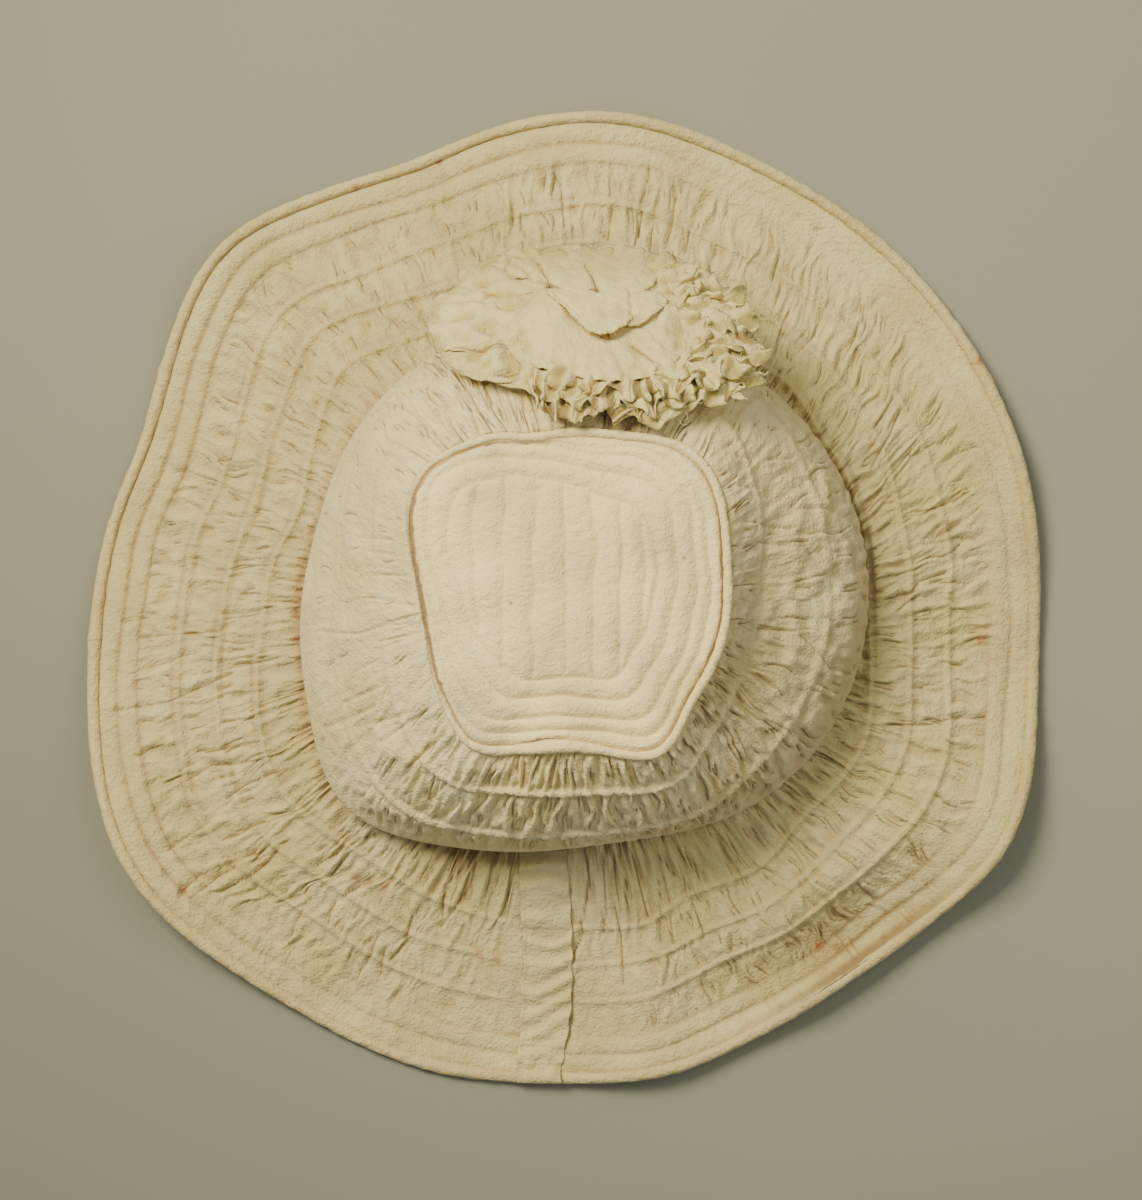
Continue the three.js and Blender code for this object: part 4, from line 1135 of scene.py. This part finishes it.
def petal_relief(x, y, seed):
    """Wrinkles running out from the rosette's heart, pleats at its front and left, and crumples."""
    around = np.degrees(np.arctan2(y - HEART_Y, x - HEART_X))
    out = np.hypot(x - HEART_X, y - HEART_Y)
    wrinkles = 0.22 * ripple(around, out, waves=30, long=40, seed=seed)
    wrinkles = wrinkles - 0.5 * np.exp(-np.abs(ripple(around, out, waves=20, long=36, seed=seed + 1)) / 0.1)
    rough = blend(18, 40, out)
    relief = wrinkles * blend(14, 34, out) * (1 + 1.2 * blend(110, 123, y))
    relief = relief + (0.2 + 0.45 * rough) * crumple(x, y, pitch=13, seed=seed)
    relief = relief + (0.1 + 0.25 * rough) * crumple(x, y, pitch=5, seed=seed + 9)
    pleated = np.clip(blend(100, 116, y) + blend(-6, -26, x), 0, 1) * blend(16, 32, out)
    swing = 1.6 * crumple(x, y, pitch=24, seed=seed + 5)
    return relief + 0.6 * pleated * np.sin(np.radians(around) * 36 + swing)


def petal_sheets(rows, seed):
    """Petals as flat patches of cloth on the drape, each a square grid drawn out to its own outline.

    The grid is first drawn round by x * sqrt(1 - y * y / 2); a point then lies as far from the middle to
    the outline as from the round's middle to its rim. A petal rises to the back, swells in its middle, and
    carries pleats that deepen to the rim, small crumples and sunk creases.
    """
    sheets = []
    for number, row in enumerate(rows):
        count = PETAL_POINTS if len(row["outline"]) < 12 else WIDE_PETAL_POINTS
        a, b = np.meshgrid(np.linspace(-1, 1, count), np.linspace(-1, 1, count))
        p, q = a * np.sqrt(1 - b * b / 2), b * np.sqrt(1 - a * a / 2)
        edge, turn = np.hypot(p, q), np.arctan2(q, p) / (2 * np.pi) % 1
        middle = np.mean(row["outline"], axis=0)
        rim = curve(row["outline"], -turn % 1, closed=True)
        ragged = 1 + 0.016 * np.sin(2 * np.pi * 17 * turn + number) + 0.01 * np.sin(2 * np.pi * 41 * turn)
        x, y = [middle[i] + edge * ragged * (rim[..., i] - middle[i]) for i in (0, 1)]
        half = np.ptp(np.array(row["outline"])[:, 1]) / 2
        pleats = edge**2 * np.sin(2 * np.pi * row["pleats"] * turn + 1.2 * np.sin(12 * turn) + number)
        relief = petal_relief(x, y, seed)
        height = row["lift"] + row["back"] * (middle[1] - y) / half + row["swell"] * (1 - edge**2)
        height = height + row["pleat"] * pleats + relief
        depth, line = sunk_creases(ROSETTE_CREASES, x, y)
        points = over_drape(x, y, np.maximum(height - depth, row["lift"] / 2 - 1))
        # Yellowed tone with painted shade: at the rim, on the back petals and in the hollows of the relief.
        age = row["age"] + 0.2 * blend(0.9, 1.0, edge) + 0.35 * blend(108, 126, y)
        age = np.clip(age + 0.6 * np.clip(-relief, 0, 1), 0, 1)
        sheets.append((points, grid_faces(count, count), np.clip(line, 0, 1), age))
    return sheets


def frill_sheets(rows, seed):
    """Ruffles as strips on the drape between a gathered line and a free edge.

    The free edge swings along the strip by the cosine and up by the sine of its waves, so that its folds
    hang over; the waves' spacing wanders, and the edge is pushed about by crumples.
    """
    v, u = np.meshgrid(np.linspace(0, 1, FRILL_ACROSS), np.linspace(0, 1, FRILL_ALONG))
    sheets = []
    for number, row in enumerate(rows):
        gathered, free = curve(row["gathered"], u, closed=False), curve(row["free"], u, closed=False)
        wander = 1.5 * crumple(12 * u, 0.4 * v, pitch=4, seed=seed + number)
        wave = 2 * np.pi * row["waves"] * u + wander + 1.4 * v
        path = np.gradient(free, axis=0)
        path = path / np.linalg.norm(path, axis=-1, keepdims=True)
        size = np.clip(0.9 + 0.4 * crumple(20 * u, 0 * u, pitch=6, seed=seed + 20 + number), 0.2, 1.5)
        place = gathered + (free - gathered) * (v + 0.2 * v * v * np.sin(0.5 * wave + number))[..., None]
        place = place + path * (row["swing"] * size * v**1.3 * np.cos(wave))[..., None]
        x, y = place[..., 0], place[..., 1]
        pushed = [crumple(x, y, pitch=7, seed=seed + 60 + i + number) for i in (0, 10)]
        place = place + 0.8 * v[..., None] * np.stack(pushed, axis=-1)
        x, y = place[..., 0], place[..., 1]
        crimp = 0.35 * np.sin(2.6 * wave + 3 * v) * v + 0.65 * crumple(x, y, pitch=6, seed=seed + number)
        rise = row["tall"] * size * v * np.sin(wave)
        height = row["low"] + (row["high"] - row["low"]) * v + rise + crimp
        points = over_drape(x, y, np.maximum(height, 0.4))
        # Painted shade in the hollows of the waves and along the gathered line.
        hollow = blend(0.35, -0.9, np.sin(wave)) * blend(0, 0.4, v)
        age = 0.2 + 0.7 * hollow + 0.15 * blend(0.9, 1, v)
        patchy = 0.75 + 0.25 * crumple(20 * u, v, pitch=7, seed=seed + 40 + number)
        crease = np.clip(0.7 * hollow * patchy + 0.45 * (1 - v) ** 2, 0, 0.85)
        sheets.append((points, grid_faces(FRILL_ACROSS, FRILL_ALONG), crease, np.clip(age, 0, 1)))
    return sheets


def make_rosette_tier(name, sheets, material):
    """Joins sheets of cloth into one tier and gives them the muslin's thickness."""
    points, faces, crease, age = zip(*sheets)
    starts = np.cumsum([0] + [values.size for values in age])
    piece = put_mesh(
        name,
        np.concatenate([sheet.reshape(-1, 3) for sheet in points]),
        [quads + start for quads, start in zip(faces, starts)],
        material,
        crease=np.concatenate([values.ravel() for values in crease]),
        age=np.concatenate([values.ravel() for values in age]),
    )
    wall = piece.modifiers.new("muslin", "SOLIDIFY")
    wall.thickness = MUSLIN_WALL * MM
    wall.offset = 0
    return piece


def make_frayed_threads(material):
    """Loose threads at the rosette's raw edges: each a four-sided tube along a short curling path."""
    rng = np.random.default_rng(91)
    count, steps, sides = 60, 9, 4
    place = rng.uniform(0, 1, count)
    right = rng.uniform(0, 1, count) < 0.6
    x = np.where(right, 60 + 8 * np.sin(place * 3), -8 + 56 * place) + rng.normal(0, 2.0, count)
    y = np.where(right, 113 - 33 * place, 68 + 3 * np.sin(place * 6)) + rng.normal(0, 1.5, count)
    way = np.where(right, rng.normal(0, 0.7, count), rng.normal(-1.57, 0.8, count))
    step = (rng.uniform(2.5, 8, count) / steps)[:, None]
    t = np.linspace(0, 1, steps)
    bend = rng.normal(0, 1.4, count)[:, None] * t + rng.normal(0, 1.2, count)[:, None] * t**2
    heading = way[:, None] + bend
    x = x[:, None] + np.cumsum(np.cos(heading), axis=1) * step
    y = y[:, None] + np.cumsum(np.sin(heading), axis=1) * step
    lift = 3.2 + rng.uniform(0, 2, count)[:, None] - 1.6 * t**2
    path = over_drape(x, y, lift)[:, :, None]
    ring = (np.arange(sides) * 2 * np.pi / sides)[:, None]
    across = np.stack([-np.sin(heading), np.cos(heading), np.zeros_like(heading)], axis=-1)[:, :, None]
    points = path + THREAD * (np.cos(ring) * across + np.sin(ring) * np.array([0.0, 0.0, 1.0]))
    k, s, r = np.meshgrid(np.arange(count), np.arange(steps - 1), np.arange(sides), indexing="ij")
    near = (k * steps + s) * sides
    far, after = near + sides, (r + 1) % sides
    quads = np.stack([near + r, near + after, far + after, far + r], axis=-1).reshape(-1, 4)
    ends = np.arange(count)[:, None] * steps * sides + np.arange(sides)
    caps = np.concatenate([ends[:, ::-1], ends + (steps - 1) * sides])
    return put_mesh("rosette_frayed_threads", points, [quads, caps], material, age=0.5)


def linear(hex_colour):
    """An sRGB hex value as linear red, green, blue and alpha."""
    parts = [int(hex_colour[i : i + 2], 16) / 255 for i in (0, 2, 4)]
    return tuple(c / 12.92 if c <= 0.04045 else ((c + 0.055) / 1.055) ** 2.4 for c in parts) + (1.0,)


def add_node(tree, kind, inputs, **settings):
    """Adds a node with its settings; an input that is a socket is linked, any other sets the value."""
    node = tree.nodes.new(kind)
    for key, value in settings.items():
        setattr(node, key, value)
    for key, value in inputs.items():
        if isinstance(value, bpy.types.NodeSocket):
            tree.links.new(value, node.inputs[key])
        else:
            node.inputs[key].default_value = value
    return node


def noise(tree, place, size, detail):
    """Noise over a place, in patches about so many mm across."""
    inputs = {"Vector": place, "Scale": 1 / (size * MM), "Detail": detail}
    return add_node(tree, "ShaderNodeTexNoise", inputs).outputs["Fac"]


def spread(tree, value, low, high, most=1.0, **settings):
    """Spreads the values from low to high out over 0 to the most."""
    inputs = {"Value": value, "From Min": low, "From Max": high, "To Max": most}
    return add_node(tree, "ShaderNodeMapRange", inputs, **settings).outputs["Result"]


def mix(tree, share, first, second):
    """Mixes a share of the second colour, a hex value, into the first, which may be a socket."""
    first = linear(first) if isinstance(first, str) else first
    inputs = {0: share, 6: first, 7: linear(second)}
    return add_node(tree, "ShaderNodeMix", inputs, data_type="RGBA").outputs[2]


def new_material(name):
    """An empty material, its node tree and the Object coordinates in it."""
    material = bpy.data.materials.new(name)
    material.use_nodes = True
    tree = material.node_tree
    tree.nodes.clear()
    return material, tree, add_node(tree, "ShaderNodeTexCoord", {}).outputs["Object"]


def finish_material(tree, **inputs):
    """Adds the shader with its inputs, and the output."""
    inputs = {key.replace("_", " "): value for key, value in inputs.items()}
    shader = add_node(tree, "ShaderNodeBsdfPrincipled", inputs)
    add_node(tree, "ShaderNodeOutputMaterial", {"Surface": shader.outputs["BSDF"]})


def aged_cloth(name, colour, pale, yellow, weave, depth, blotch):
    """Aged plain-woven cotton: matt, mottled, yellowed and brown both from dirt and as painted shade, with
    marks.

    Its weave is real thread spacing drawn about twice as coarse, to show at the picture's size, with fine
    wrinkles a few mm across.
    """
    material, tree, place = new_material(name)
    crease, age, stain = [
        add_node(tree, "ShaderNodeAttribute", {}, attribute_name=key).outputs["Fac"]
        for key in ("crease", "age", "stain")
    ]
    mottle = spread(tree, noise(tree, place, size=blotch, detail=4.0), 0.35, 0.65)
    # Share of the yellowed colour: real ageing plus painted shade.
    yellow_and_shade_share = add_node(tree, "ShaderNodeMath", {0: age, 1: 0.75}, operation="MULTIPLY").outputs[0]
    line = spread(tree, crease, 0.25, 1.0, 0.75, interpolation_type="SMOOTHSTEP")
    tone = mix(tree, mottle, colour, pale)
    tone = mix(tree, yellow_and_shade_share, tone, yellow)
    tone = mix(tree, line, tone, MARK_AND_SHADE_BROWN)
    tone = mix(tree, stain, tone, RUST)
    wrinkles = noise(tree, place, size=3.5, detail=3.0)
    heights = {0: wrinkles, 1: 1.6, 2: noise(tree, place, size=weave, detail=2.0)}
    uneven = add_node(tree, "ShaderNodeMath", heights, operation="MULTIPLY_ADD").outputs[0]
    bumps = {"Height": uneven, "Strength": 0.8, "Distance": depth * MM}
    normal = add_node(tree, "ShaderNodeBump", bumps).outputs["Normal"]
    finish_material(
        tree,
        Base_Color=tone,
        Roughness=0.92,
        Specular_IOR_Level=0.2,
        Sheen_Weight=0.12,
        Sheen_Roughness=0.6,
        Normal=normal,
    )
    return material


def floor_paper(name):
    """Matt seamless background paper: grey-beige, faintly mottled, with painted shade to the back left and in
    the corners.
    """
    material, tree, place = new_material(name)
    fibre = spread(tree, noise(tree, place, size=60, detail=5.0), 0.0, 1.0, 0.25)
    toward = add_node(tree, "ShaderNodeVectorMath", {0: place, 1: (0.6, 0.8, 0)}, operation="DOT_PRODUCT")
    shade = spread(tree, toward.outputs["Value"], 0.1, -0.3)
    out = add_node(tree, "ShaderNodeVectorMath", {0: place, 1: (0.05, 0.03, 0)}, operation="DISTANCE")
    corner = spread(tree, out.outputs["Value"], 0.24, 0.36, 0.22)
    tone = mix(tree, fibre, FLOOR_GREY, FLOOR_FIBRE)
    tone = mix(tree, shade, tone, FLOOR_PAINTED_SHADE)
    tone = mix(tree, corner, tone, FLOOR_PAINTED_CORNER_SHADE)
    finish_material(tree, Base_Color=tone, Roughness=0.95, Specular_IOR_Level=0.1)
    return material


# Camera: straight above the hat, as in the photograph.
CAMERA_X, CAMERA_Y, CAMERA_HEIGHT = 2.6, -0.55, 1510
PICTURE_WIDTH, PICTURE_LEVEL = 444, 10  # width that the picture spans at a height over the floor
SENSOR = 36
camera = bpy.data.objects.new("camera", bpy.data.cameras.new("camera"))
camera.location = (CAMERA_X * MM, CAMERA_Y * MM, CAMERA_HEIGHT * MM)
camera.data.sensor_width = SENSOR
camera.data.lens = SENSOR * (CAMERA_HEIGHT - PICTURE_LEVEL) / PICTURE_WIDTH
camera.data.clip_start = 0.05
bpy.context.collection.objects.link(camera)
bpy.context.scene.camera = camera

# Materials. Brim and placket: dull cream cloth with a coarse weave, brown in its creases with dirt and
# painted shade.
corded_cotton = aged_cloth(
    "aged corded cotton", COTTON, COTTON_PALE, YELLOWED_AND_SHADE, weave=1.1, depth=0.9, blotch=30
)
# Crown side: the same cloth, paler because it was handled less.
crown_cotton = aged_cloth(
    "cleaner corded cotton", CROWN_COTTON, CROWN_PALE, YELLOWED_AND_SHADE, weave=1.1, depth=0.9, blotch=30
)
# Rolled edge: a strip of warmer yellow round the brim.
binding_cotton = aged_cloth(
    "yellowed cotton binding", BINDING, COTTON, YELLOWED_AND_SHADE, weave=1.1, depth=0.8, blotch=20
)
# Tip and piping: the palest cloth, smoother and evenly toned.
quilted_cotton = aged_cloth(
    "quilted fine cotton", TIP_COTTON, TIP_PALE, YELLOWED_AND_SHADE, weave=1.0, depth=0.75, blotch=45
)
# Rosette: thin soft cloth, golden in its hollows with painted shade.
rosette_muslin = aged_cloth(
    "soft cotton muslin", MUSLIN, MUSLIN_PALE, MUSLIN_YELLOWED_AND_SHADE, weave=1.0, depth=0.8, blotch=25
)

# Pieces, the node each stands for and its slot.
pieces = [
    (make_brim(corded_cotton), "brim", "corded_cotton"),
    (make_edge_roll(binding_cotton), "brim_edge_roll", "edge_cotton"),
    (make_placket(corded_cotton), "back_placket", "corded_cotton"),
    (make_crown_side(crown_cotton), "crown_side", "corded_cotton"),
    (make_tip(quilted_cotton), "crown_tip", "quilted_cotton"),
    (make_piping(quilted_cotton), "tip_piping", "quilted_cotton"),
]
for name, node, petals, frills, seed, flat, rests_on in (
    ("outer", "rosette_outer_ruffle", OUTER_PETALS, OUTER_FRILLS, 81, (0.07, 0.28), "crown_side_cloth"),
    ("middle", "rosette_petals", MIDDLE_PETALS, MIDDLE_FRILLS, 85, (0.045, 0.14), "rosette_outer_petals"),
    ("heart", "rosette_heart", HEART_PETALS, [], 88, (0.022, 0.055), "rosette_middle_petals"),
):
    sheets = petal_sheets(petals, seed) + frill_sheets(frills, seed + 1)
    tier = make_rosette_tier(f"rosette_{name}_petals", sheets, rosette_muslin)
    pieces.append((tier, node, "rosette_muslin"))
for piece, node, slot in pieces:
    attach(piece, "root")
    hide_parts(node)
threads = make_frayed_threads(rosette_muslin)
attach(threads, "root")

# Floor and light: a large soft key from the upper left, a weak fill from the right, and a pale room.
FLOOR_HALF, FLOOR_HEIGHT = 3000, -0.1
corners = [(x * FLOOR_HALF, y * FLOOR_HALF, FLOOR_HEIGHT) for x, y in ((-1, -1), (1, -1), (1, 1), (-1, 1))]
floor = put_mesh("floor", corners, [np.array([[0, 1, 2, 3]])], floor_paper("background paper"))
for name, place, size, watts in (("key", (-1.0, 1.05, 1.7), 0.9, 73), ("fill", (1.4, 0.5, 1.9), 1.6, 16)):
    lamp = bpy.data.lights.new(name, "AREA")
    lamp.size = size
    lamp.energy = watts
    lamp.color = linear(LAMP_WHITE)[:3]
    light = bpy.data.objects.new(name, lamp)
    light.location = place
    back = np.array(place) / np.linalg.norm(place)
    light.rotation_euler = (np.arccos(back[2]), 0, np.arctan2(back[1], back[0]) + np.pi / 2)
    bpy.context.collection.objects.link(light)
world = bpy.data.worlds.new("room")
world.use_nodes = True
room = world.node_tree.nodes["Background"]
room.inputs["Color"].default_value = linear(ROOM_BLUE)
room.inputs["Strength"].default_value = 0.47
bpy.context.scene.world = world
